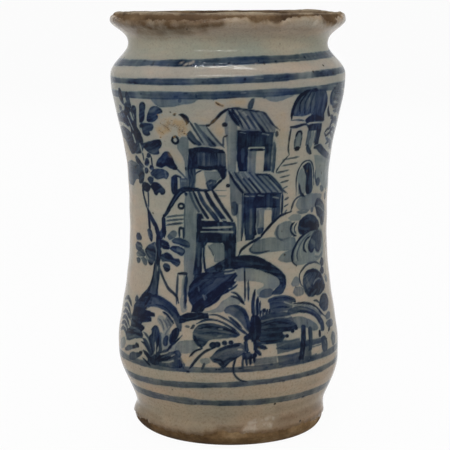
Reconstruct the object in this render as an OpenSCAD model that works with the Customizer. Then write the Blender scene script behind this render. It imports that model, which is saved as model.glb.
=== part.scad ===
// Albarello: a waisted, wheel-thrown earthenware storage jar with an open mouth.
// The glaze lies on the clay outside and inside, and the painted lines lie in the outer glaze.
// Millimetres. The origin is the middle of the resting face and +Z points up the jar's axis.

/* [Jar] */
// Height from the resting face to the top of the lip
jar_height = 200; // [188:1:230]
// Thickness of the clay wall, measured level
wall = 5; // [3:0.5:7]
// Thickness of the clay floor
floor_thickness = 8; // [5:0.5:12]
// Rounding inside, where the floor meets the wall
floor_corner = 9; // [4:0.5:14]

/* [Foot] */
// Radius of the flat face that the jar stands on
rest_radius = 35; // [30:0.5:40]
// Widest radius of the rounded foot edge
foot_radius = 45.4; // [43:0.2:48]
// Height of the foot edge's widest ring
foot_height = 7.6; // [5:0.2:8]
// Radius of the groove above the foot
ankle_radius = 44.5; // [42:0.5:48]
// Height of the groove above the foot
ankle_height = 12.5; // [10:0.5:16]

/* [Body] */
// Radius of the clay at the hip, the lower bulge
hip_radius = 52.3; // [48:0.1:58]
// Height of the hip
hip_height = 41.5; // [36:0.5:50]
// Radius of the clay at the waist, where a hand grips the jar
waist_radius = 46.5; // [40:0.5:52]
// Height of the waist
waist_height = 99.5; // [80:0.5:120]
// Radius of the clay at the shoulder, the upper bulge
shoulder_radius = 54.9; // [50:0.1:60]
// Depth of the shoulder below the top of the lip
shoulder_drop = 29.5; // [26:0.5:34]

/* [Neck] */
// Radius of the clay at the throat, the groove that a cover is tied into
throat_radius = 46.4; // [42:0.1:50]
// Depth of the throat below the top of the lip
throat_drop = 15.5; // [13:0.5:18]
// How much narrower the lip's radius is than the shoulder's
lip_inset = 0.1; // [-3:0.1:4]
// Depth of the lip's rounded edge
lip_drop = 3.8; // [2.5:0.1:4]

/* [Glaze] */
// Thickness of the glaze, measured level
glaze = 0.5; // [0.35:0.05:1]
// Height at which the outer glaze starts, above the bare foot edge
outer_glaze_start = 8.4; // [8.2:0.1:9.8]
// Depth below the top of the lip at which the outer glaze stops
outer_glaze_drop = 4.2; // [4.1:0.1:8]
// Depth below the top of the lip at which the inner glaze stops
inner_glaze_drop = 5.5; // [4.1:0.1:10]

/* [Painted lines] */
// Width of each painted line
line_width = 3.2; // [2:0.1:4.5]
// Depth of the painted lines in the glaze
paint = 0.2; // [0.1:0.02:0.2]
// Clearance under each painted line, between it and the glaze
line_bed = 0.08; // [0.04:0.01:0.1]
// Height of the lowest line, above the foot
foot_line_height = 23.3; // [20:0.1:27]
// Height of the middle line on the hip
hip_line_height = 32.5; // [29:0.1:34.5]
// Height of the line under the painted panel
panel_bottom_height = 39.7; // [38:0.1:46]
// Depth below the top of the lip of the line over the painted panel
panel_top_drop = 35.2; // [34.5:0.1:45]
// Depth below the top of the lip of the line on the shoulder
shoulder_line_drop = 29.5; // [26:0.1:30.5]
// Depth below the top of the lip of the line under the throat
neck_line_drop = 21; // [19:0.1:24]

/* [Hidden] */
// Longest step between two points of the profile
profile_step = 2;
// Points in each rounded edge of the profile
edge_points = 8;
// Facets of a full turn in the preview
turn_facets = 128;
// Shape of each stretch of the profile: over 1 stays longer at the stretch's first end
hip_to_ankle_shape = 1.4;
waist_to_hip_shape = 1.35;
waist_to_shoulder_shape = 1.68;
throat_to_shoulder_shape = 1;
throat_to_lip_shape = 1.5;

lip_height = jar_height - lip_drop;
lip_radius = shoulder_radius - lip_inset;
throat_height = jar_height - throat_drop;
shoulder_height = jar_height - shoulder_drop;
outer_glaze_stop = jar_height - outer_glaze_drop;
inner_glaze_stop = jar_height - inner_glaze_drop;
panel_top_height = jar_height - panel_top_drop;
shoulder_line_height = jar_height - shoulder_line_drop;
neck_line_height = jar_height - neck_line_drop;
line_heights = [
    foot_line_height,
    hip_line_height,
    panel_bottom_height,
    panel_top_height,
    shoulder_line_height,
    neck_line_height
];

clay_colour = "#9c6f4e";
glaze_colour = "#bfbab0";
cobalt_colour = "#55657e";

// Smooth step from 0 to 1, level at both ends
function ease(along, shape) =
    let (s = pow(along, shape))
    s * s * (3 - 2 * s);

// Radius at height z on the stretch from one [radius, height] station to another
function stretch(z, from, to, shape) =
    from[0] + (to[0] - from[0]) * ease((z - from[1]) / (to[1] - from[1]), shape);

// Radius of the clay's outer face at height z, from the foot edge to the lip
function clay_radius(z) =
    let (
        foot = [foot_radius, foot_height],
        ankle = [ankle_radius, ankle_height],
        hip = [hip_radius, hip_height],
        waist = [waist_radius, waist_height],
        shoulder = [shoulder_radius, shoulder_height],
        throat = [throat_radius, throat_height],
        lip = [lip_radius, lip_height]
    )
    z < ankle_height ? stretch(z, foot, ankle, 1)
    : z < hip_height ? stretch(z, hip, ankle, hip_to_ankle_shape)
    : z < waist_height ? stretch(z, waist, hip, waist_to_hip_shape)
    : z < shoulder_height ? stretch(z, waist, shoulder, waist_to_shoulder_shape)
    : z < throat_height ? stretch(z, throat, shoulder, throat_to_shoulder_shape)
    : stretch(z, throat, lip, throat_to_lip_shape);

// Heights from the first to the last break, with every break among them
function heights(breaks) =
    [
        for (k = [0 : len(breaks) - 2])
            let (count = ceil((breaks[k + 1] - breaks[k]) / profile_step))
            for (i = [0 : count - 1])
                breaks[k] + (breaks[k + 1] - breaks[k]) * i / count,
        breaks[len(breaks) - 1]
    ];

// Points of the wall's outer face, pushed out level by some distance
function face(breaks, out) = [for (z = heights(breaks)) [clay_radius(z) + out, z]];

function reversed(points) = [for (i = [len(points) - 1 : -1 : 0]) points[i]];

// Quarter ellipse between two points, given its centre and its two half axes
function quarter(centre, half_axes, first_angle, last_angle) =
    [
        for (i = [0 : edge_points])
            let (angle = first_angle + (last_angle - first_angle) * i / edge_points)
            centre + [half_axes[0] * cos(angle), half_axes[1] * sin(angle)]
    ];

// Breaks of the outer glaze: its two ends, and both edges of each painted line between them
glaze_breaks = [
    outer_glaze_start,
    for (height = line_heights)
        for (side = [-1, 1])
            height + side * line_width / 2,
    outer_glaze_stop
];
floor_corner_top = floor_thickness + floor_corner;

// The cavity's face from the axis to the inner glaze's edge, pushed in by some distance
function cavity(inset) =
    let (corner_radius = clay_radius(floor_corner_top) - wall)
    concat(
        [[0, floor_thickness + inset]],
        quarter(
            [corner_radius - floor_corner, floor_corner_top],
            [floor_corner - inset, floor_corner - inset],
            -90,
            0
        ),
        [
            for (z = heights([floor_corner_top, inner_glaze_stop]))
                if (z > floor_corner_top)
                    [clay_radius(z) - wall - inset, z]
        ]
    );

module revolve(outline) {
    rotate_extrude($fn = turn_facets)
        polygon(outline);
}

module clay_body() {
    crest = [lip_radius - wall / 2, lip_height];
    foot_edge = quarter(
        [rest_radius, foot_height],
        [foot_radius - rest_radius, foot_height],
        -90,
        0
    );
    outer_face = face(concat([foot_height], glaze_breaks, [lip_height]), 0);
    lip_edge = concat(
        quarter(crest, [wall / 2, lip_drop], 0, 90),
        quarter(crest, [wall / 2, lip_drop], 90, 180)
    );
    bare_inside = [
        for (point = reversed(face([inner_glaze_stop, lip_height], -wall)))
            if (point[1] < lip_height && point[1] > inner_glaze_stop)
                point
    ];
    color(clay_colour)
        revolve(
            concat(
                [[0, 0]],
                foot_edge,
                [for (point = outer_face) if (point[1] > foot_height && point[1] < lip_height) point],
                [for (i = [0 : len(lip_edge) - 1]) if (i != edge_points) lip_edge[i]],
                bare_inside,
                reversed(cavity(0))
            )
        );
}

module outer_glaze() {
    // Every second stretch between two breaks lies under a painted line
    surface = [
        for (k = [0 : len(glaze_breaks) - 2])
            let (depth = k % 2 == 1 ? paint + line_bed : 0)
            each face([glaze_breaks[k], glaze_breaks[k + 1]], glaze - depth)
    ];
    color(glaze_colour)
        revolve(concat(face(glaze_breaks, 0), reversed(surface)));
}

module inner_glaze() {
    color(glaze_colour)
        revolve(concat(cavity(0), reversed(cavity(glaze))));
}

module painted_line(height) {
    edges = [height - line_width / 2, height + line_width / 2];
    color(cobalt_colour)
        revolve(concat(face(edges, glaze - paint), reversed(face(edges, glaze))));
}

module foot_line() {
    painted_line(foot_line_height);
}

module hip_line() {
    painted_line(hip_line_height);
}

module panel_bottom_line() {
    painted_line(panel_bottom_height);
}

module panel_top_line() {
    painted_line(panel_top_height);
}

module shoulder_line() {
    painted_line(shoulder_line_height);
}

module neck_line() {
    painted_line(neck_line_height);
}

clay_body();
outer_glaze();
inner_glaze();
foot_line();
hip_line();
panel_bottom_line();
panel_top_line();
shoulder_line();
neck_line();
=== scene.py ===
"""A tin-glazed earthenware albarello, dressed over its CAD solids.

The jar is three pieces: the bare clay pot, the outer glaze with its cobalt painting, and the
inner glaze. The painting is laid on the glaze's own mesh, brush stroke by brush stroke, as a
depth of cobalt at each point, and the glaze's material turns that depth into colour.
"""

import math

import bpy
import numpy as np
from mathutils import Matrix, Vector


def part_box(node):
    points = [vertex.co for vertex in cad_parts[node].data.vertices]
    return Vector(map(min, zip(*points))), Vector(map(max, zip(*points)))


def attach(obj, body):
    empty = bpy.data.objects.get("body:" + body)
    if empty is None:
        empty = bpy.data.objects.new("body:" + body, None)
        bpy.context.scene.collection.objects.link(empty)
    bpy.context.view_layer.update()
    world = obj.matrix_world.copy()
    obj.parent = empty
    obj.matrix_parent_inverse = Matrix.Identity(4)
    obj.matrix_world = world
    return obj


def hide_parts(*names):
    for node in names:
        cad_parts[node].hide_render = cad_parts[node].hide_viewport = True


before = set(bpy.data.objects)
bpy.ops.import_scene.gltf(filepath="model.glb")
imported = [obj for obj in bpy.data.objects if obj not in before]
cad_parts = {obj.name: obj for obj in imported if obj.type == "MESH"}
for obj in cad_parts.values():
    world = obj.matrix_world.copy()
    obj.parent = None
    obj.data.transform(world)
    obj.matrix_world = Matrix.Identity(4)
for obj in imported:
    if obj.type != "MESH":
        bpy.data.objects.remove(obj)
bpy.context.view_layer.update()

# Units: the scene is in metres, the painting in millimetres
MM = 0.001

# The painting's own radius: a place across the panel is an arc length at this radius
PANEL_RADIUS = 50.0
PANEL_TURN = 2.0 * math.pi * PANEL_RADIUS

# Cells of the meshes, round the jar and up it, and rows of the outer glaze's hidden face
GLAZE_COLUMNS = 820
GLAZE_ROWS = 484
HIDDEN_ROWS = 40
CLAY_COLUMNS = 360
INSIDE_COLUMNS = 240

# Depth of the outer glaze's hidden face in the clay, the glaze's least thickness, and the rounding
# where the floor inside meets the wall
HIDDEN_DEPTH = 0.2
THINNEST_GLAZE = 0.06
FLOOR_CORNER = 9.0

# The outer glaze's mesh starts at this height, and stops this far below the top of the lip
SKIN_START = 5.0
SKIN_STOP_DROP = 0.7

# Height above which the lip is chipped
CHIPPED_FROM = 194.0

# Camera: distance from the jar's axis, height, the height it looks at, and its lens
CAMERA_DISTANCE = 0.760
CAMERA_HEIGHT = 0.212
CAMERA_AIM_HEIGHT = 0.100
CAMERA_LENS = 128.2
CAMERA_SENSOR = 36.0
CAMERA_SHIFT = (-0.0067, -0.0091)

# Tones of the cobalt, from a thin wash to the thickest stroke
PALE = 0.22
WASH = 0.34
MID = 0.52
STRONG = 0.72
DARK = 0.9
DEEP = 1.0

# Share of a coat of cobalt that shows where it lies over another, how far the edges of strokes and
# areas waver, the softness of an area's edge, the share of a stroke's length over which each of its
# ends tapers, and the distance between the points along it
SECOND_COAT = 0.4
STROKE_WAVER = 0.09
AREA_WAVER = 0.12
AREA_EDGE = 0.4
TAPER_SHARE = 0.18
STROKE_STEP = 0.6

# How strongly the old glaze and the clay shine
SURFACE_SHINE = 0.045

# Half the floor's width in metres, and the share of its own shade that shows on the white
FLOOR_REACH = 60.0
FLOOR_SHADE = 0.03


def smoothstep(value):
    value = np.clip(value, 0.0, 1.0)
    return value * value * (3.0 - 2.0 * value)


def srgb(red, green, blue):
    """A colour given in 0 to 255 screen values, as linear RGBA."""
    channels = []
    for value in (red, green, blue):
        value /= 255.0
        linear = value / 12.92 if value <= 0.04045 else ((value + 0.055) / 1.055) ** 2.4
        channels.append(linear)
    return (*channels, 1.0)


# The form of the thrown jar, measured from the CAD solids


def rings(node, widest):
    """Heights and radii, in millimetres, of the rings of vertices on a solid's outer or inner face."""
    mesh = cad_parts[node].data
    points = np.empty(len(mesh.vertices) * 3)
    mesh.vertices.foreach_get("co", points)
    points = points.reshape(-1, 3) / MM
    radius = np.hypot(points[:, 0], points[:, 1])
    heights = np.round(points[:, 2], 2)
    levels = np.unique(heights)
    pick = np.max if widest else np.min
    return levels, np.array([pick(radius[heights == level]) for level in levels])


def smooth_profile(levels, radii):
    """A function from height to radius: a smooth curve through the rings."""
    slopes = np.gradient(radii, levels)

    def radius_at(height):
        height = np.clip(height, levels[0], levels[-1])
        k = np.clip(np.searchsorted(levels, height) - 1, 0, len(levels) - 2)
        span = levels[k + 1] - levels[k]
        t = (height - levels[k]) / span
        rise = smoothstep(t)
        start = t * (1.0 - t) ** 2 * span * slopes[k]
        end = t * t * (t - 1.0) * span * slopes[k + 1]
        return radii[k] + (radii[k + 1] - radii[k]) * rise + start + end

    return radius_at


def joined_rings(*stretches):
    """One list of rings from stretches of several, each with the heights between which it counts."""
    levels = []
    radii = []
    for (ring_levels, ring_radii), low, high in stretches:
        kept = (ring_levels >= low) & (ring_levels < high)
        levels.append(ring_levels[kept])
        radii.append(ring_radii[kept])
    return np.concatenate(levels), np.concatenate(radii)


GLAZE_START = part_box("outer_glaze")[0][2] / MM
GLAZE_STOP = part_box("outer_glaze")[1][2] / MM
JAR_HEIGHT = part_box("clay_body")[1][2] / MM
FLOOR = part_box("inner_glaze")[0][2] / MM
clay_levels, clay_radii = joined_rings(
    (rings("clay_body", widest=True), 0.0, FLOOR - 0.1),
    (rings("outer_glaze", widest=False), GLAZE_START - 0.1, GLAZE_STOP + 0.1),
    (rings("clay_body", widest=True), GLAZE_STOP + 0.2, JAR_HEIGHT + 1.0),
)
clay_radius = smooth_profile(clay_levels, clay_radii)
GLAZE_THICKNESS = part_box("shoulder_line")[1][0] / MM - clay_radius(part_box("shoulder_line")[1][2] / MM)
INSIDE_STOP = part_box("inner_glaze")[1][2] / MM
WALL = clay_radius(INSIDE_STOP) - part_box("inner_glaze")[1][0] / MM


def lean(height):
    """Sideways set of the jar, in millimetres: hip and foot were pushed to the right while soft."""
    hip = 1.1 * np.exp(-(((height - 22.0) / 14.0) ** 2))
    ankle = 0.35 * np.exp(-(((height - 12.5) / 2.5) ** 2))
    rest = 1.0 * np.exp(-((height / 4.0) ** 2))
    return hip + ankle + rest


def thrown(angle, height):
    """Small change of radius, in millimetres, left by the wheel and the potter's hands."""
    oval = 0.22 * np.sin(2.0 * angle + 0.7) + 0.12 * np.sin(3.0 * angle + height / 31.0)
    finger_rings = 0.07 * np.sin(height / 2.3 + 0.6 * np.sin(angle)) + 0.06 * np.sin(height / 5.9 + 1.0)
    return oval * smoothstep(height / 20.0) + finger_rings * smoothstep((height - 10.0) / 20.0)


def rim_wave(angle, height):
    """Rise and fall of the lip, in millimetres: the rim isn't quite level."""
    wave = 0.25 * np.sin(angle * 2.0 + 2.4) + 0.18 * np.sin(angle * 5.0) + 0.12 * np.sin(angle * 9.0 + 1.0)
    far_side = 0.5 * smoothstep((np.abs(angle) - 1.2) / 0.6)
    dip = 0.5 * np.exp(-(((angle - 2.87) / 0.2) ** 2)) - 0.8 * np.exp(-(((angle - 2.28) / 0.25) ** 2))
    return (wave - 0.1 - far_side - dip) * smoothstep((height - 190.0) / 9.0)


def place(angle, height, radius):
    """Points in metres from angles, heights and radii in millimetres. Angle 0 faces the camera."""
    radius = radius + thrown(angle, height)
    across = radius * np.sin(angle) + lean(height)
    depth = -radius * np.cos(angle)
    return np.stack([across, depth, height + rim_wave(angle, height)], axis=-1) * MM


def ripple(angle, seed, waves, roughness=1.0):
    """An uneven closed line round the jar, between about -1 and 1."""
    draw = np.random.default_rng(seed)
    total = np.zeros_like(angle)
    weight = 0.0
    for k in range(1, waves + 1):
        size = k ** -roughness
        total += size * np.sin(k * angle + draw.uniform(0.0, 2.0 * math.pi))
        weight += size * size
    return total / math.sqrt(weight)


def angles(columns):
    return (np.arange(columns) / columns * 2.0 - 1.0) * math.pi


# The painter's brush


class Canvas:
    """Cobalt depth over the outer glaze, on a grid of heights by angles."""

    def __init__(self, columns, heights):
        self.columns = columns
        self.heights = heights
        self.across = angles(columns) * PANEL_RADIUS
        self.cell = (PANEL_TURN / columns, heights[1] - heights[0])
        shape = (len(heights), columns)
        self.cobalt = np.zeros(shape)
        self.outline = np.zeros(shape)
        self.stain = np.zeros(shape)
        self.soil = np.zeros(shape)
        self.chipped = np.zeros(shape)
        self.draw = np.random.default_rng(7)
        self.ragged = self.grain(0.7, 0.7)
        self.flow = self.grain(2.2, 2.2)

    def blurred(self, layer, across, up):
        """A layer spread out by some millimetres across and up, carried round the back."""
        tall = np.concatenate([layer, layer[::-1]])
        rate_up = np.fft.fftfreq(len(tall), self.cell[1])[:, None]
        rate_across = np.fft.rfftfreq(self.columns, self.cell[0])[None, :]
        share = np.exp(-2.0 * math.pi**2 * ((rate_across * across) ** 2 + (rate_up * up) ** 2))
        return np.fft.irfft2(np.fft.rfft2(tall) * share, tall.shape)[: len(layer)]

    def grain(self, across, up):
        """Even noise with grains of some millimetres, mostly between -1 and 1."""
        layer = self.blurred(self.draw.normal(size=self.cobalt.shape), across, up)
        return np.clip(layer / layer.std() / 1.6, -1.6, 1.6)

    def window(self, low, high):
        """Rows, columns and places of the cells in a box, with columns carried round the back."""
        step = self.cell[0]
        first = math.floor((low[0] - self.across[0]) / step)
        last = math.ceil((high[0] - self.across[0]) / step)
        columns = np.arange(first, last + 1)
        rows = np.flatnonzero((self.heights >= low[1]) & (self.heights <= high[1]))
        x, z = np.meshgrid(self.across[0] + columns * step, self.heights[rows])
        return np.ix_(rows, columns % self.columns), x, z

    def fire(self):
        """Lets the cobalt bleed into the glaze round it, and marks the thin outlines."""
        near = self.blurred(self.cobalt, 1.3, 1.3)
        wide = self.blurred(self.cobalt, 5.0, 5.0)
        bleed = 0.14 * near + 0.06 * wide
        self.outline = np.clip(1.5 * self.cobalt - 2.6 * self.blurred(self.cobalt, 1.6, 1.6), 0.0, 1.0)
        self.cobalt = self.cobalt + bleed * (1.0 - self.cobalt)


def curve(points):
    """Evenly spaced points along a smooth curve through a few points."""
    points = np.asarray(points, float)
    if len(points) == 2:
        count = max(2, int(np.hypot(*(points[1] - points[0])) / STROKE_STEP) + 1)
        return points[0] + (points[1] - points[0]) * np.linspace(0.0, 1.0, count)[:, None]
    padded = np.vstack([2 * points[0] - points[1], points, 2 * points[-1] - points[-2]])
    pieces = []
    for a, b, c, d in zip(padded[:-3], padded[1:-2], padded[2:-1], padded[3:]):
        count = max(2, int(np.hypot(*(c - b)) / STROKE_STEP) + 1)
        t = np.linspace(0.0, 1.0, count, endpoint=False)[:, None]
        pieces.append(
            0.5 * (2 * b + (c - a) * t + (2 * a - 5 * b + 4 * c - d) * t**2 + (3 * b - a - 3 * c + d) * t**3)
        )
    return np.vstack(pieces + [points[-1:]])


def spread(where, values):
    """One value, or several spread evenly along a stroke, at places from 0 to 1 along it."""
    return np.interp(where, np.linspace(0, 1, np.size(values)), np.atleast_1d(values))


class Brush:
    """Paints on a canvas. A brush may work from another place, mirrored or at another scale.

    Places are a flat row of numbers, across and up in turn, in millimetres.
    """

    def __init__(self, canvas, shift=(0.0, 0.0), scale=1.0, mirror=False):
        self.canvas = canvas
        self.shift = np.asarray(shift, float)
        self.scale = np.array([-scale if mirror else scale, scale])

    def at(self, points):
        return np.asarray(points, float).reshape(-1, 2) * self.scale + self.shift

    def nearest(self, path, reach):
        """For the cells near a path: their places, distance to it, side offset and share of its length."""
        cells, x, z = self.canvas.window(path.min(axis=0) - reach, path.max(axis=0) + reach)
        start = path[:-1]
        step = path[1:] - start
        length = np.maximum(np.hypot(step[:, 0], step[:, 1]), 1e-9)
        along = np.concatenate([[0.0], np.cumsum(length)])
        dx = x[..., None] - start[:, 0]
        dz = z[..., None] - start[:, 1]
        t = np.clip((dx * step[:, 0] + dz * step[:, 1]) / length**2, 0.0, 1.0)
        gap = np.hypot(dx - t * step[:, 0], dz - t * step[:, 1])
        best = np.argmin(gap, axis=-1)
        pick = np.take_along_axis
        index = best[..., None]
        side = pick(dx, index, -1)[..., 0] * step[best, 1] - pick(dz, index, -1)[..., 0] * step[best, 0]
        where = (along[best] + pick(t, index, -1)[..., 0] * length[best]) / along[-1]
        return cells, (x, z), pick(gap, index, -1)[..., 0], side / length[best], where

    def bristles(self, side, where):
        """Uneven streaks that run along a stroke, mostly between -1 and 1."""
        draw = self.canvas.draw
        streaks = np.zeros_like(side)
        for pitch, weight in ((0.35, 0.5), (0.8, 0.8), (1.9, 0.7)):
            hairs = draw.normal(size=64)
            drift = draw.uniform(-0.8, 0.8) * np.sin(where * draw.uniform(1.5, 5.0) + draw.uniform(0.0, 6.0))
            streaks += weight * np.interp(side / pitch + 20.0 + drift, np.arange(64), hairs, period=64)
        return np.clip(streaks / 1.3, -1.5, 1.5)

    def lay(self, cells, depth):
        """Adds a coat of cobalt over what is there: where two coats meet, it is a little deeper."""
        old = self.canvas.cobalt[cells]
        deeper = np.maximum(old, depth)
        self.canvas.cobalt[cells] = deeper + SECOND_COAT * np.minimum(old, depth) * (1.0 - deeper)

    def stroke(self, points, width, tone=DARK, taper=(0.35, 0.35), streak=0.16, soft=0.34):
        """One pull of the brush. A width or tone may be a list that changes along the stroke."""
        path = curve(self.at(points))
        size = abs(self.scale[0])
        cells, _, gap, side, where = self.nearest(path, np.max(width) * size)
        first, last = taper
        ends = first + (1 - first) * smoothstep(where / TAPER_SHARE)
        ends = ends * (last + (1 - last) * smoothstep((1 - where) / TAPER_SHARE))
        half = spread(where, width) * size * ends / 2.0 + self.canvas.ragged[cells] * STROKE_WAVER
        inside = half - gap
        cover = np.clip(inside / soft + 0.5, 0.0, 1.0)
        pooled = 0.96 + 0.12 * smoothstep(1.0 - inside / 0.8) - 0.06 * smoothstep((inside - 0.6) / 1.2)
        load = 1.0 + 0.07 * self.canvas.flow[cells] + 0.06 * smoothstep((where - 0.75) / 0.25)
        depth = spread(where, tone) * cover * pooled * load * (1.0 + streak * self.bristles(side, where))
        self.lay(cells, np.clip(depth, 0.0, 1.0))

    def leaf(self, base, tip, width, tone):
        """A pressed brush mark: narrow where it starts, full and round at its tip."""
        base = np.asarray(base, float)
        tip = np.asarray(tip, float)
        span = tip - base
        inset = span / max(np.hypot(*span), 1e-6) * min(width * 0.42, np.hypot(*span) * 0.3)
        self.stroke(
            [base + inset * 0.4, (base + tip) / 2.0, tip - inset],
            [width * 0.55, width * 0.95, width, width * 0.92],
            tone,
            taper=(0.45, 0.85),
        )

    def fill(self, outline, tone=WASH, streak=0.13, rounded=True, pull=90.0):
        """A flooded area, a little darker along its edge. The brush was pulled at an angle, in degrees."""
        corners = self.at(outline)
        path = np.vstack([corners, corners[:1]])
        path = curve(path) if rounded else path
        cells, (x, z), gap, _, _ = self.nearest(path, 1.0)
        inside = np.zeros(x.shape, bool)
        for (ax, az), (bx, bz) in zip(path[:-1], path[1:]):
            if az == bz:
                continue
            crosses = (az > z) != (bz > z)
            inside ^= crosses & (x < (bx - ax) * (z - az) / (bz - az) + ax)
        signed = np.where(inside, gap, -gap) + self.canvas.ragged[cells] * AREA_WAVER
        cover = np.clip(signed / AREA_EDGE + 0.5, 0.0, 1.0)
        pooled = 0.95 + 0.18 * smoothstep(1.0 - gap / 0.9)
        turn = math.radians(pull)
        sideways = x * math.sin(turn) - z * math.cos(turn)
        lengthways = x * math.cos(turn) + z * math.sin(turn)
        grain = self.bristles(sideways, lengthways * 0.2) + 0.7 * self.canvas.flow[cells]
        grain = grain * (0.6 + 0.9 * tone)
        self.lay(cells, np.clip(tone * cover * pooled * (1.0 + streak * grain), 0.0, 1.0))

    def lift(self, points, width, strength, soft=0.4):
        """Takes cobalt off along a line, as a gap left between two strokes."""
        size = abs(self.scale[0])
        cells, _, gap, _, where = self.nearest(curve(self.at(points)), np.max(width) * size)
        half = spread(where, width) * size / 2.0 + self.canvas.ragged[cells] * AREA_WAVER
        cover = np.clip((half - gap) / soft + 0.5, 0.0, 1.0)
        self.canvas.cobalt[cells] *= 1.0 - strength * cover

    def dab(self, centre, size, tone=DARK):
        """A round touch of the brush tip."""
        x, z = centre
        self.stroke([(x - 0.15, z), (x + 0.15, z)], size, tone, taper=(1.0, 1.0), streak=0.0)

    def smear(self, layer, points, width, amount, soft):
        """Dirt, rust or wear rubbed into another layer of the canvas along a line."""
        cells, _, gap, _, _ = self.nearest(curve(self.at(points)), width + soft)
        cover = amount * smoothstep((width / 2.0 - gap) / soft + 0.5)
        layer[cells] = np.maximum(layer[cells], cover)


# The painted lines round the jar


def ring_line(canvas, height, tilt, width, tone, seed, loads):
    """A line painted while the jar turned: it tilts, wavers and thins, with places of more or less load."""
    angle = canvas.across / PANEL_RADIUS
    centre = height + tilt * np.sin(angle) + 0.22 * ripple(angle, seed, 9)
    half = width / 2.0 * (1.0 + 0.14 * ripple(angle, seed + 1, 18, 0.6))
    rows = np.flatnonzero(np.abs(canvas.heights - height) < tilt + width + 2.0)
    offset = canvas.heights[rows][:, None] - centre
    gap = half + canvas.ragged[rows] * 0.07 - np.abs(offset)
    cover = np.clip(gap / 0.45 + 0.5, 0.0, 1.0)
    rim = smoothstep(1.0 - gap / 0.9) * (0.5 + 0.5 * np.sign(-offset)) * 0.22
    rim = rim + smoothstep(1.0 - gap / 0.6) * 0.10
    places, amounts = zip(*loads)
    load = np.interp(canvas.across, places, amounts, period=PANEL_TURN)
    load = load + 0.16 * ripple(angle, seed + 2, 40, 0.3)
    load = load + 0.09 * canvas.flow[rows] + 0.07 * canvas.ragged[rows]
    streak = 1.0 + 0.07 * np.cos(offset * 3.3 + 1.5 * ripple(angle, seed + 3, 6))
    brush = Brush(canvas)
    brush.lay(rows, np.clip(tone * cover * (0.92 + rim) * load * streak, 0.0, 1.0))
    # Scratches and thick spots
    draw = np.random.default_rng(seed)
    for _ in range(34):
        x = draw.uniform(-157.0, 157.0)
        z = np.interp(x, canvas.across, centre) + draw.uniform(-0.5, 0.5) * width
        length = draw.uniform(0.6, 3.4)
        brush.lift([(x, z), (x + length, z + draw.uniform(-0.2, 0.3))], 0.3, draw.uniform(0.2, 0.6), 0.5)
    for _ in range(26):
        x = draw.uniform(-157.0, 157.0)
        z = np.interp(x, canvas.across, centre) + draw.uniform(-0.4, 0.4) * width
        brush.stroke([(x, z), (x + draw.uniform(0.3, 2.0), z)], draw.uniform(0.5, 1.2),
                     min(tone + 0.22, 1.0), soft=0.7)


def line_height(node):
    low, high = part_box(node)
    return (low[2] + high[2]) / 2.0 / MM


def paint_lines(canvas):
    """The six lines from the neck down, each with its places of more or less load round the jar."""
    neck = ((-60, 0.95), (-40, 0.98), (-28, 1.2), (-10, 1.2), (4, 1.08), (22, 0.96), (36, 0.84), (50, 1.0),
            (150, 1.0))
    shoulder = ((-60, 0.95), (-24, 1.04), (0, 1.02), (22, 1.1), (32, 0.7), (36, 0.66), (40, 1.2), (60, 1.0),
                (150, 1.1))
    panel_top = ((-60, 0.84), (-34, 0.9), (-14, 0.98), (2, 1.06), (30, 1.0), (60, 0.96), (150, 0.9))
    panel_bottom = ((-60, 1.1), (-30, 1.0), (-6, 1.1), (20, 1.0), (60, 1.06), (150, 1.0))
    hip = ((-60, 1.0), (-46, 1.3), (-40, 0.9), (-10, 1.12), (14, 1.04), (60, 1.0), (150, 0.9))
    foot = ((-60, 1.1), (-20, 1.05), (0, 1.1), (30, 1.0), (44, 0.86), (60, 1.0), (150, 1.0))
    ring_line(canvas, line_height("neck_line") - 1.1, 2.0, 2.8, 0.70, 11, neck)
    ring_line(canvas, line_height("shoulder_line") + 0.1, 2.2, 2.4, 0.75, 21, shoulder)
    ring_line(canvas, line_height("panel_top_line") - 0.4, 1.7, 3.0, 0.68, 31, panel_top)
    ring_line(canvas, line_height("panel_bottom_line") + 0.2, 1.5, 2.8, 0.6, 41, panel_bottom)
    ring_line(canvas, line_height("hip_line") + 0.3, 2.7, 2.7, 0.57, 51, hip)
    ring_line(canvas, line_height("foot_line") + 0.3, 0.9, 3.3, 0.53, 61, foot)


# The painted landscape: places are millimetres across the panel and heights above the foot


def clouds(brush):
    brush.fill([-34, 164.5, -34, 160.8, -30, 158.2, -24, 158.5, -18, 159.8, -13.6, 160.8, -12.4, 164.5],
               0.42)
    for points, width, tone in (
        ([-20.3, 161.9, -19.8, 160.7], 1.9, MID),
        ([-13, 164.5, -12.8, 162.6], 1.1, STRONG),
        ([-27, 163.6, -25.5, 163.2], 1.6, MID),
        ([-6.5, 164, -4.6, 162.6], 2.6, [MID, MID]),
    ):
        brush.stroke(points, width, tone)
    brush.fill([13.6, 165.5, 14.4, 163.2, 17, 161.5, 20, 161, 23, 161.6, 26.5, 163, 29.5, 164.8], 0.3)
    brush.stroke([14.2, 163.6, 15, 162.6], 1.0, MID)


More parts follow.
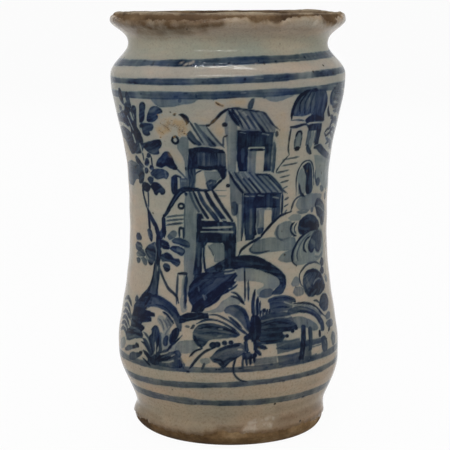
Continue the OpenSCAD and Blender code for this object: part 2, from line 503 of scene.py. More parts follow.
def upper_right_house(brush):
    brush.fill([-0.6, 157, 0.4, 157.4, 4, 150.6, 4, 141, 3.6, 129, -0.4, 129.4, -0.4, 141, -1.6, 150], WASH,
               rounded=False)
    brush.lift([0.6, 152, 0.6, 142, 0.4, 133], 1.0, 0.3)
    brush.fill([0.6, 158, 7, 157.6, 13.5, 156.6, 15.3, 155.8, 17.5, 153, 20.6, 149.4, 21, 146.8, 12, 147.2,
                5.4, 148.8, 4.6, 150.4], 0.4, rounded=False, pull=-55.0)
    brush.stroke([0.2, 157.6, 2, 154.2, 4.8, 150.2], [1.4, 1.8, 1.3], DEEP)
    tiles = (
        ([1.8, 157.6, 4.6, 153, 6.4, 149.4], [1.6, 1.0, 0.8], 0.95),
        ([3.6, 157.6, 6.6, 153.2, 9.2, 149], 0.9, 0.88),
        ([6.2, 157.2, 9, 153.4, 12, 148.8], 0.9, 0.82),
        ([9, 156.8, 12.6, 151.4, 16, 147.2], [0.9, 1.0, 1.7], [0.8, DEEP]),
        ([11.4, 156.6, 15, 151.8, 18, 147.6], 0.8, 0.6),
        ([13.6, 156, 17, 151.4, 19.6, 148], 0.8, 0.5),
    )
    for points, width, tone in tiles:
        brush.stroke(points, width, tone, taper=(0.6, 0.7))
    for points, width in (
        ([3, 157, 4, 155.8], 0.8),
        ([6.4, 156.6, 7.6, 155.2], 0.9),
        ([5.4, 153.6, 8, 150], 0.5),
        ([8, 152.8, 10.6, 149], 0.5),
        ([10.8, 152.4, 13.4, 148.8], 0.5),
    ):
        brush.lift(points, width, 0.7)
    ridge = [0, 158.1, 2.5, 158.3, 7, 157.7, 10.3, 157.1, 13.5, 156.6, 15.3, 155.8, 17.5, 153.1,
             19.8, 150.4, 23, 148]
    brush.stroke(ridge, [1.2, 0.9, 0.8, 0.9, 0.8])
    brush.stroke([0.2, 158.2, -2.7, 156.1, -5, 153.6, -7.8, 150.8], [1.1, 1.3, 1.2], DEEP)
    brush.fill([9.4, 162.6, 10.7, 162.6, 10.4, 160, 9.8, 158, 8.2, 158.1, 8.2, 160.4], 0.8)
    brush.fill([3.8, 148.6, 7, 148.2, 11.6, 148.2, 15, 147.6, 20.2, 147, 20.4, 140.6, 9, 140.6, 8.8, 129.4,
                5, 129.4, 4, 134, 3.9, 141], 0.97, streak=0.08, rounded=False)
    brush.stroke([8.2, 140, 8.4, 131], 1.0, 0.6)
    brush.lift([5.2, 147.5, 6.4, 147.3, 7.6, 146.9], 0.5, 0.8)
    brush.lift([3.9, 133.8, 4.2, 130.4], 0.6, 0.8)
    brush.lift([6.6, 139.6, 6.6, 134], 1.3, 0.2)
    brush.fill([16.7, 142, 20.3, 142, 20.4, 129.4, 16.8, 129.4], DEEP, rounded=False)
    brush.fill([20.6, 143, 21.2, 144, 22.1, 136, 21.8, 128.6, 20.6, 129], 0.6, rounded=False)
    brush.stroke([21.6, 142, 22.1, 135, 21.8, 128.6], 0.7, STRONG)
    brush.lift([20.6, 145, 20.9, 143], 0.8, 0.8)
    brush.lift([15, 146.7, 16.4, 146.4, 17.8, 146], 0.5, 0.8)
    brush.stroke([4.2, 148.9, 7.6, 148.6, 13, 148.2], 0.8, WASH)
    brush.fill([9.2, 139, 12.8, 139, 12.8, 128.6, 9.6, 128.8], 0.38, rounded=False)
    brush.fill([9, 139, 10.4, 139, 10.8, 128.8, 9.2, 128.8], 0.3, rounded=False)
    brush.stroke([9, 139.3, 13, 139.4, 16.8, 139.2], 1.1, DEEP)
    brush.lift([9.6, 140.5, 13, 140.7, 16, 140.6], 0.3, 0.55)
    for points, width in (
        ([12.6, 128, 16, 127.8, 20, 127.6], 0.9),
        ([21.6, 147.6, 21.9, 145.2], [1.2, 1.6]),
        ([-1.9, 145.6, -2.1, 141], 0.7),
        ([-1.8, 145.4, -0.2, 146.1], 0.7),
    ):
        brush.stroke(points, width)
    brush.lift([-1.2, 144.8, -0.9, 138, -0.5, 131], 0.7, 0.85)
    brush.dab((-1.4, 150.9), 2.0, DEEP)


def upper_left_house(brush):
    brush.fill([-23.6, 139.8, -23.2, 142, -20.9, 144.7, -18, 144.4, -18, 140, -19, 134.7, -19.2, 126,
                -20.4, 126.4, -20.4, 132, -20.9, 135.2, -22.3, 137.5])
    brush.dab((-23.2, 155), 1.0, 0.8)
    brush.stroke([-21, 155.1, -19.2, 154.7, -17.9, 153.4, -17.5, 152, -18, 150.7],
                 [0.7, 1.7, 2.3, 1.9, 0.8], DEEP)
    brush.fill([-14.4, 151.4, -9.4, 150.2, -7.4, 147, -4.4, 143.4, -2.4, 141, -12, 141.2, -13.4, 146], 0.26,
               rounded=False)
    brush.fill([-18.4, 146.1, -16.8, 147.9, -15.5, 146.5, -14.1, 144.3, -11.8, 141.9, -13.2, 141.2,
                -15.5, 142, -17.7, 144], 0.74, pull=-50.0)
    brush.stroke([-17.8, 145, -16, 142.8, -14, 141.4], 0.9)
    brush.stroke([-16.5, 152.2, -14.1, 147.9, -11.8, 143.8, -10.6, 141.8], 0.8)
    brush.fill([-14.6, 151.6, -13.2, 151.2, -10.9, 147.9, -8.2, 145.2, -5.4, 142, -5.7, 140.8, -8.2, 141.2,
                -10, 143.6, -12.4, 147.4], 0.7, pull=-55.0)
    brush.lift([-12, 147.6, -10.4, 144.6, -8.8, 142.2], 0.5, 0.5)
    brush.stroke([-8.8, 145, -7, 142.8, -5.6, 141.2], 0.9)
    brush.stroke([-9.3, 150.2, -7.3, 147, -4.5, 143.4, -1.6, 140.4], 0.8, 0.8)
    brush.stroke([-13, 150.5, -9.4, 150.5], 0.5, MID)
    brush.stroke([-9.6, 150.5, -7.6, 150.6], 1.1, DEEP)
    brush.fill([-18, 139.6, -14, 140.4, -10.8, 140.6, -5, 140, -2.2, 139.4, -0.9, 137.6, -0.7, 131,
                -4, 130.2, -14.9, 130.4, -18.8, 130.2, -18.5, 134.7], 0.84, rounded=False)
    brush.fill([-18, 139.6, -14, 140.4, -10.8, 140.6, -5, 140, -2.2, 139.4, -1, 137.8, -4, 138, -14, 138.3,
                -15.4, 136, -15.2, 127.5, -15.9, 121, -19.1, 121, -19.3, 130, -18.5, 134.7], 0.97,
               rounded=False)
    brush.stroke([-15.4, 131.3, -9, 130.9, -4, 131.6, -1.4, 130], [1.6, 1.8, 2.2, 2.6], DEEP)
    brush.fill([-5, 130.6, -2, 132, -0.7, 131.6, -0.7, 128.4, -1.4, 126.4, -2.4, 125.8, -3.4, 127.4], DEEP)
    for x, width, strength in ((-13.4, 0.7, 0.25), (-10.9, 1.1, 0.35), (-8.4, 0.7, 0.2), (-4.2, 1.0, 0.3)):
        brush.lift([(x, 137.4), (x - 0.2, 132.6)], width, strength)
    brush.lift([-16.2, 141.4, -14, 141.1], 0.7, 0.8)
    brush.fill([-11.2, 129.6, -4.6, 129.6, -3.4, 126.6, -5.6, 125, -10.4, 124.4], 0.36, rounded=False)
    brush.fill([-10.6, 124.2, -8.2, 125.8, -5.4, 125, -6.8, 122.6, -8.4, 120.9, -9.6, 121.6], 0.72)
    brush.lift([-8.6, 123.8, -7.8, 124.4], 0.8, 0.5)
    brush.stroke([-2.4, 126.2, -5, 123.8, -7.8, 120.9], 1.0, DEEP)
    brush.stroke([-15.8, 127.5, -14.6, 128.8, -12.4, 129.9], 0.7)
    brush.stroke([-25.4, 144.4, -25.9, 143, -24.8, 141.9, -23.3, 142.2, -22.8, 143.6, -23.7, 144.9,
                  -25.2, 144.5], 1.1, DEEP, taper=(0.9, 0.9))
    brush.fill([-28.2, 126, -26.6, 127, -24.9, 126.6, -24.8, 121, -25.6, 118.2, -27.6, 118.4, -28.5, 122],
               DEEP)
    brush.stroke([-26.8, 126.9, -24.6, 126.7, -22.4, 126.2], 0.9)
    brush.fill([-23.4, 126, -19.4, 126, -19.2, 121.4, -23.6, 121.4], 0.62, rounded=False)
    brush.lift([-22.6, 124.6, -20.6, 124.8], 1.2, 0.3)
    brush.stroke([-25.2, 130.4, -22.3, 127.9, -19.4, 125], 0.7, STRONG)
    brush.stroke([-20.1, 131, -20, 129.6], 0.9)
    brush.stroke([-20.6, 119.6, -20.2, 118], 1.5, DEEP)


def middle_house(brush):
    brush.fill([0.6, 127.4, 3, 125.4, 6.8, 120.4, 6.6, 98, 4.4, 97.4, 4.4, 108, 1.2, 114], 0.38,
               rounded=False)
    brush.fill([1.4, 115.6, 4, 115.6, 4, 110, 1.8, 110], 0.62)
    brush.stroke([4.3, 115, 4.3, 109.8], 0.7)
    brush.lift([5.7, 114, 5.5, 106, 5.3, 98], 1.1, 0.6)
    brush.fill([1.2, 129.4, 10, 129, 20, 127.6, 22.5, 125.4, 27.6, 119.8, 27, 118.4, 16, 118.8, 8, 119.4,
                6.8, 121], 0.4, rounded=False, pull=-50.0)
    tiles = (
        ([0.4, 129.4, 2.9, 125, 6.9, 120], [1.2, 1.3, 1.5], DEEP),
        ([3, 129.2, 5.8, 125, 10, 120, 10.8, 119], 1.1, 0.92),
        ([5, 129, 8.2, 125, 12.6, 120, 13.4, 119], 1.0, 0.86),
        ([7.4, 129, 10.6, 125, 15, 120, 16, 118.8], 1.0, 0.9),
        ([10, 128.8, 13.4, 125, 18, 120, 19, 118.8], 0.9, 0.78),
        ([12.6, 128.4, 16, 125, 21, 120, 22, 118.8], 0.9, 0.82),
        ([15.4, 128.2, 18.8, 125, 24, 120, 25, 118.6], 0.9, 0.8),
        ([18.4, 128, 21.4, 125, 24.6, 122, 27, 119.4], 0.9, DARK),
    )
    for points, width, tone in tiles:
        brush.stroke(points, width, tone, taper=(0.6, 0.7))
    for points, width in (
        ([5.4, 128.6, 6.8, 126.6], 0.8),
        ([7.6, 129, 9.4, 126.8], 0.9),
        ([4.6, 125, 7.8, 121], 0.5),
        ([9.6, 124.8, 13.4, 120.4], 0.5),
        ([12, 125, 16, 120.6], 0.5),
        ([17.4, 129, 19.2, 128.2], 0.6),
        ([20.4, 125, 25, 120.4], 0.5),
    ):
        brush.lift(points, width, 0.7)
    brush.stroke([19.8, 127.8, 22.5, 125.4, 25.3, 122.6, 27.5, 120, 30, 118.4], [1.0, 1.0, 1.0, 0.7])
    brush.stroke([8, 119.4, 16, 119.2, 26.6, 118.8], [0.6, 0.7, 1.1])
    brush.fill([7.4, 119.6, 15, 119.4, 26.2, 118.6, 25.9, 112.4, 13.8, 112.4, 13.4, 104, 14, 100.6, 12, 98,
                8.4, 98, 7.6, 104], 0.97, streak=0.08, rounded=False)
    brush.fill([21.4, 113, 25.9, 113, 25.8, 108.6, 21.6, 105], DEEP, rounded=False)
    brush.lift([11, 112, 10.8, 101], 1.0, 0.35)
    for points in ([8, 118.3, 9.8, 118], [10.6, 118.2, 12.4, 118], [14.4, 118.4, 17.2, 118],
                   [22, 117.3, 25, 116.6]):
        brush.lift(points, 0.5, 0.8)
    brush.fill([14, 112.4, 17.6, 112.4, 17.4, 103.6, 13.6, 103], 0.38, rounded=False)
    brush.stroke([14.4, 112, 14.6, 107, 14, 103.6], 1.2, 0.45)
    brush.stroke([17.4, 111.9, 21.2, 111.7], 0.6, MID)
    brush.stroke([27.1, 118.8, 27.1, 114, 26.9, 108.6], 0.9)
    brush.stroke([26.4, 117, 26.2, 109], 0.8, PALE)
    brush.stroke([6.9, 120.4, 7, 108, 6.5, 98], 0.9)
    brush.dab((0, 123.1), 1.7, DEEP)
    brush.fill([13.8, 103.4, 17.4, 103.6, 16.8, 101.4, 14.4, 100.6], 0.72)
    brush.lift([13.2, 99.8, 15.4, 99.9], 1.0, 0.8)
    for height, end in ((120.9, -6.2), (118.4, -4.6)):
        brush.stroke([(end, height), (-0.8, height - 0.1)], 0.5, WASH)


def lower_left_house(brush):
    brush.fill([-20.6, 119.4, -17.4, 119.6, -15.2, 112, -15.2, 90, -16.4, 80, -18.8, 73, -21.8, 72,
                -21.6, 112], 0.35, rounded=False)
    brush.stroke([-21.2, 113.4, -21.4, 106, -21.4, 99], 0.8, 0.5)
    tiles = (
        ([-18.6, 120, -16.6, 115, -14, 111], 1.2, 0.62),
        ([-16.6, 120, -14.2, 115, -11, 110, -9.6, 108.2], [1.2, 1.3, 1.6], DARK),
        ([-14.2, 120.2, -11.6, 115, -7.3, 110, -4.8, 107], [1.8, 1.9, 2.2], 0.95),
        ([-10.6, 120.2, -7.8, 115, -4, 110, -1.4, 107], [1.8, 2.0, 2.2], 0.93),
        ([-7.3, 120.9, -5.4, 117.8, -3.7, 115, -1.6, 112, 0.3, 109.4, 2, 107], 1.4, DEEP),
    )
    for points, width, tone in tiles:
        brush.stroke(points, width, tone, taper=(0.7, 0.8))
    brush.fill([-18.8, 119.6, -17, 119.6, -12, 110.4, -13, 109, -15, 110.6], 0.3, rounded=False)
    brush.lift([-12.4, 118.4, -10, 114, -7.8, 111.2], 0.5, 0.4)
    brush.lift([-6.4, 111.4, -4.4, 108.8], 0.7, 0.3)
    for points, width, tone in (
        ([-31.4, 109.6, -30.4, 111.2, -27.5, 115, -25.2, 118, -22.6, 120.2, -19, 121.2],
         [2.0, 2.2, 2.5, 2.9, 2.4], DEEP),
        ([-33.8, 106.8, -31.6, 109.2, -29.4, 112.4], [1.0, 2.0, 2.3], DEEP),
        ([-33.4, 108, -33.4, 103, -33.2, 98], 2.5, DEEP),
        ([-24.6, 120.4, -20, 121, -15.5, 121, -12, 120.7, -7.6, 120.9], [2.2, 2.4, 1.9, 1.0, 1.0], DEEP),
    ):
        brush.stroke(points, width, tone)
    brush.stroke([-24.4, 113.6, -24.6, 112.6, -23.4, 111.9, -22, 112.4, -21.8, 113.6, -23, 114.2,
                  -24.2, 113.8], 1.1, DEEP, taper=(0.9, 0.9))
    brush.stroke([-32, 107.3, -27, 108.2, -21.6, 109], 0.85, STRONG)
    brush.stroke([-32, 105.6, -27, 106.5, -21.6, 107.2], 0.85, STRONG)
    brush.stroke([-32, 103.6, -27, 104.6, -21.8, 105.4], 0.85, STRONG)
    brush.stroke([-24.3, 98.4, -24.1, 102.6, -21.5, 102.9], 1.1)
    brush.stroke([-21.9, 103, -22, 98], 1.1)
    brush.fill([-15, 110, -12.6, 110, -11, 107, -8, 106.9, 3.2, 106.4, 4, 104, 4, 97, -15.4, 97], DEEP,
               rounded=False)
    for points, width, strength in (
        ([-12.4, 107.4, -9.6, 107.3], 0.8, 0.85),
        ([-2.8, 107.5, -0.8, 107.4], 0.8, 0.8),
        ([-12, 103.6, -5, 103.9, 1.9, 104.3], [0.6, 1.0, 1.0], 0.92),
        ([-13, 101.8, -5, 102, 2.2, 101.9], [0.6, 0.8, 0.8], 0.85),
    ):
        brush.lift(points, width, strength)
    brush.fill([-15.6, 98, -9.6, 97.4, -11, 95.4, -12, 94, -12.4, 84, -14, 80, -17, 82, -15.8, 90], DEEP,
               rounded=False)
    brush.lift([-14, 94, -14.2, 86], 0.8, 0.3)
    brush.stroke([-11.4, 96.4, -11.6, 91, -11, 85, -10, 82.6], 1.0)
    brush.lift([-12.2, 94.4, -12.3, 89, -12, 83.6], 0.5, 0.75)
    brush.fill([-3.4, 98, 3.9, 98, 3.6, 92, 4, 85.4, -1.6, 85, -1.7, 94, -2.2, 96.4], DEEP, rounded=False)
    brush.lift([0.6, 94, 0.4, 88], 1.4, 0.12)
    brush.fill([-8.8, 95.6, -6.5, 97, -3, 96.6, -1.8, 94.5, -1.8, 89.6, -4, 88.2, -6.6, 88.4, -6.4, 91,
                -7.6, 93.4], 0.37)
    brush.stroke([-9.4, 95.4, -7.8, 93, -6.7, 90.8], 0.7, STRONG)
    brush.fill([-10.8, 84.6, -7, 86.4, -4, 88.4, -1.4, 89.7, -1.4, 84.6, -4, 83, -10.6, 82.6], 0.78,
               rounded=False, pull=25.0)
    brush.fill([-6.6, 85.4, -4.6, 87, -2.6, 86.4, -3, 84.4, -5.6, 84], DEEP)
    brush.lift([-1.4, 83, 1, 83.2, 3.6, 83.9], 0.6, 0.85)
    brush.stroke([-24.8, 82, -24.8, 75, -24.6, 68], 1.1)
    brush.stroke([-25, 81.9, -22.4, 82.1, -19.6, 82.4], [1.0, 1.3, 1.6], DEEP)
    brush.stroke([-20, 82, -20.4, 75, -20, 67.6], [1.9, 1.7, 1.6], 0.84)
    brush.stroke([-22, 80, -22, 70], 0.9, PALE)


def tower(brush):
    brush.fill([29, 154, 28.6, 157, 30, 161, 33, 164.2, 36, 165.4, 41, 165.4, 40, 155.6, 36, 154], 0.66)
    for x, tone in ((31.8, 0.8), (34.4, 0.84), (37.6, DARK)):
        brush.stroke([(37.4 + (x - 35) * 0.7, 164.8), (x - 0.2, 160), (x + 0.4, 155)], 0.9, tone,
                     taper=(0.6, 0.6))
    brush.lift([36.2, 162, 35.8, 157], 0.7, 0.4)
    brush.stroke([28.2, 152.2, 28.2, 156, 29.2, 160, 31.4, 163.2, 35, 165.2], [1.0, 1.7, 1.7, 1.8], DEEP)
    brush.stroke([33, 165, 37, 165.2, 41, 165.2], 1.6)
    brush.fill([39.4, 165.6, 45.4, 165.2, 48, 162, 48.9, 158, 48.2, 154, 48.6, 151.2, 44, 151.4, 36, 152,
                38.6, 153.8, 39.8, 156], 0.84)
    for x in (42.2, 45.6):
        brush.lift([(x - 0.5, 164.6), (x + 0.5, 159), (x + 0.2, 155.4)], 1.2, 0.16, 0.9)
    brush.fill([35.6, 152, 38.6, 153.8, 44, 153.6, 49, 151.4, 47.6, 150.6, 40, 151, 37, 150.4], DEEP)
    brush.fill([36.8, 149.6, 43, 150, 47.6, 149.8, 47.9, 146.6, 39, 146.8, 38.4, 148], 0.94, rounded=False)
    brush.lift([42.8, 150.4, 45, 150.3, 47.6, 150.1], 0.7, 0.7)
    brush.lift([29.6, 152.9, 34, 153.2, 38.2, 154.3], 0.9, 0.85)
    brush.stroke([28, 152.2, 32, 152.2, 35.6, 151.6], 0.7, STRONG)
    brush.stroke([28.1, 149.2, 31, 149.2, 35.4, 150, 38, 149.6], [1.4, 1.3, 1.0, 1.0])
    brush.stroke([28.5, 149, 28.4, 143, 28.7, 139, 29.5, 136.2], 0.8, 0.8)
    brush.fill([31.7, 139, 31.6, 144.6, 32.6, 146.8, 34.4, 146.8, 35.5, 144.8, 35.4, 139], 0.44)
    brush.stroke([32.2, 139.2, 33.6, 138.8, 35.2, 139.2], 2.0, DEEP)
    brush.stroke([31.7, 144, 32.6, 146.6, 34.4, 146.7, 35.4, 144.6], 0.9)
    brush.stroke([31.7, 144, 31.8, 140], 0.7, STRONG)
    brush.stroke([35.4, 144.4, 35.4, 140], 0.7, STRONG)
    brush.fill([38.4, 147, 41, 147, 41, 139.8, 38.6, 140], 0.62, rounded=False)
    brush.stroke([42.2, 146.6, 42.4, 138.6], 2.4, WASH)
    brush.stroke([44.6, 147, 44.4, 140.4], 1.2, 0.6)
    brush.fill([44.8, 147, 48, 147, 48.2, 140, 45, 139.6], 0.93, rounded=False)
    brush.stroke([39.6, 140.2, 41.2, 137.8, 43.6, 135.8], [1.8, 2.4, 1.8], 0.86)
    brush.stroke([45.6, 138.6, 49, 138.4, 54.2, 136, 59, 134.2, 66, 132.2, 74, 130],
                 [3.6, 3.6, 2.8, 2.4, 2.0], [DARK, 0.84, 0.6, 0.5])
    brush.stroke([29.4, 136.2, 26.2, 133.1, 23.5, 129.6, 23.4, 128.5], 0.8, STRONG)
    for height, start, end in (
        (134.6, 26.2, 35.6),
        (131.8, 25.7, 35),
        (128.7, 23.4, 30),
        (126.3, 24.8, 30.8),
        (124, 25.7, 30.4),
        (121.3, 27.2, 30),
        (116, 28.4, 30.6),
        (112.9, 28.4, 30.6),
        (110.4, 28.8, 30),
    ):
        brush.stroke([(start, height - 0.4), (end, height + 0.5)], 0.75, 0.6)
    brush.stroke([35.4, 117, 35.1, 123.3, 35.7, 128, 37.8, 131.5, 40.7, 132.8, 43.6, 132.5, 46, 130.4,
                  47.5, 126.8, 48.4, 121], 0.8, STRONG)
    brush.fill([36.4, 117.6, 36.2, 126, 38, 129.6, 40.2, 127.6, 41.6, 124, 41.8, 118], 0.3)
    brush.fill([38.6, 130.4, 41.9, 131.9, 44.8, 130.5, 46.6, 125.6, 47.2, 119.2, 45.4, 117.2, 41.9, 117.6,
                41.7, 124.5, 40.1, 128], 0.94)
    brush.stroke([36.9, 122.7, 38.4, 118, 41, 116.2], [0.9, 1.4, 2.0], 0.88)
    brush.fill([46, 135, 54, 134, 66, 131, 74, 128, 74, 119, 60, 118, 56, 121, 50, 124, 48.8, 129], 0.25)
    brush.stroke([49, 133, 56, 131.6, 64, 128.6], 1.6, 0.2)
    brush.stroke([49, 127.6, 49.6, 124, 51, 121.6], [0.8, 1.2, 1.6], STRONG)
    brush.fill([49.6, 123.4, 52.4, 123.9, 54.6, 122.8, 54.2, 120.8, 52, 120, 50.4, 121.2], 0.7)
    brush.stroke([55.2, 119.6, 57.4, 118.2, 60, 117.4], [2.0, 3.0, 2.0], 0.56)
    brush.fill([61.6, 115, 63.4, 116.4, 65.6, 115.2, 65.4, 112.9, 63, 112.4], 0.66)


def scroll_leaves(brush):
    """Curled leaves that climb up the panel's right edge."""
    brush.fill([51.6, 162, 53, 164.4, 58, 165, 66, 163.6, 71, 161, 70, 154.6, 62, 154.4, 57, 156,
                53.6, 157.6, 52, 159.4], 0.66, pull=-12.0)
    brush.stroke([53.4, 165.2, 51.6, 163.6, 51, 161.4, 52.2, 158.8, 54, 158], [1.2, 1.6, 1.6, 1.2])
    for points, width, tone in (
        ([53.4, 163.6, 60, 162.8, 68, 160.4], 1.9, 0.92),
        ([53.6, 160.6, 57, 160.2, 64, 158.4], 1.5, 0.86),
        ([55, 156.8, 60, 157, 68, 154.4], 2.1, 0.92),
        ([56.6, 154.8, 62, 154.6, 68, 152.6], 1.6, 0.86),
        ([50.6, 157.8, 50.9, 155.6, 52.4, 153.5, 54.2, 152.6], [0.9, 1.3, 1.5, 1.2], DEEP),
        ([54.8, 152.5, 56.4, 151.9, 58, 151.4], 2.0, 0.92),
        ([56, 147.4, 57.8, 149.8, 61.3, 150.4, 66.6, 148, 70, 146], [1.4, 2.8, 3.2, 2.8, 2.4], 0.9),
        ([51.8, 145, 53.6, 146.3, 56.6, 146.8, 58, 147.8], 1.2, DARK),
        ([52, 144.8, 54.2, 143.4, 56.6, 144.2, 59, 144.4, 64, 142.2, 69, 140.4], [1.1, 1.3, 1.3, 2.2, 2.8],
         0.92),
        ([57.6, 146, 62, 146, 68, 143.6], 1.9, 0.84),
        ([54.4, 142.4, 58, 141.2, 64, 140], 1.4, 0.6),
        ([56, 139.6, 60, 140.4, 66, 138.8], 1.8, 0.72),
        ([61, 138.4, 64.4, 137.6, 68, 136.4], 2.4, 0.86),
    ):
        brush.stroke(points, width, tone)
    brush.lift([55, 159.2, 57, 158.8, 59.4, 158.6], 1.1, 0.75)
    brush.lift([60.6, 156, 64, 155.6], 0.7, 0.5)


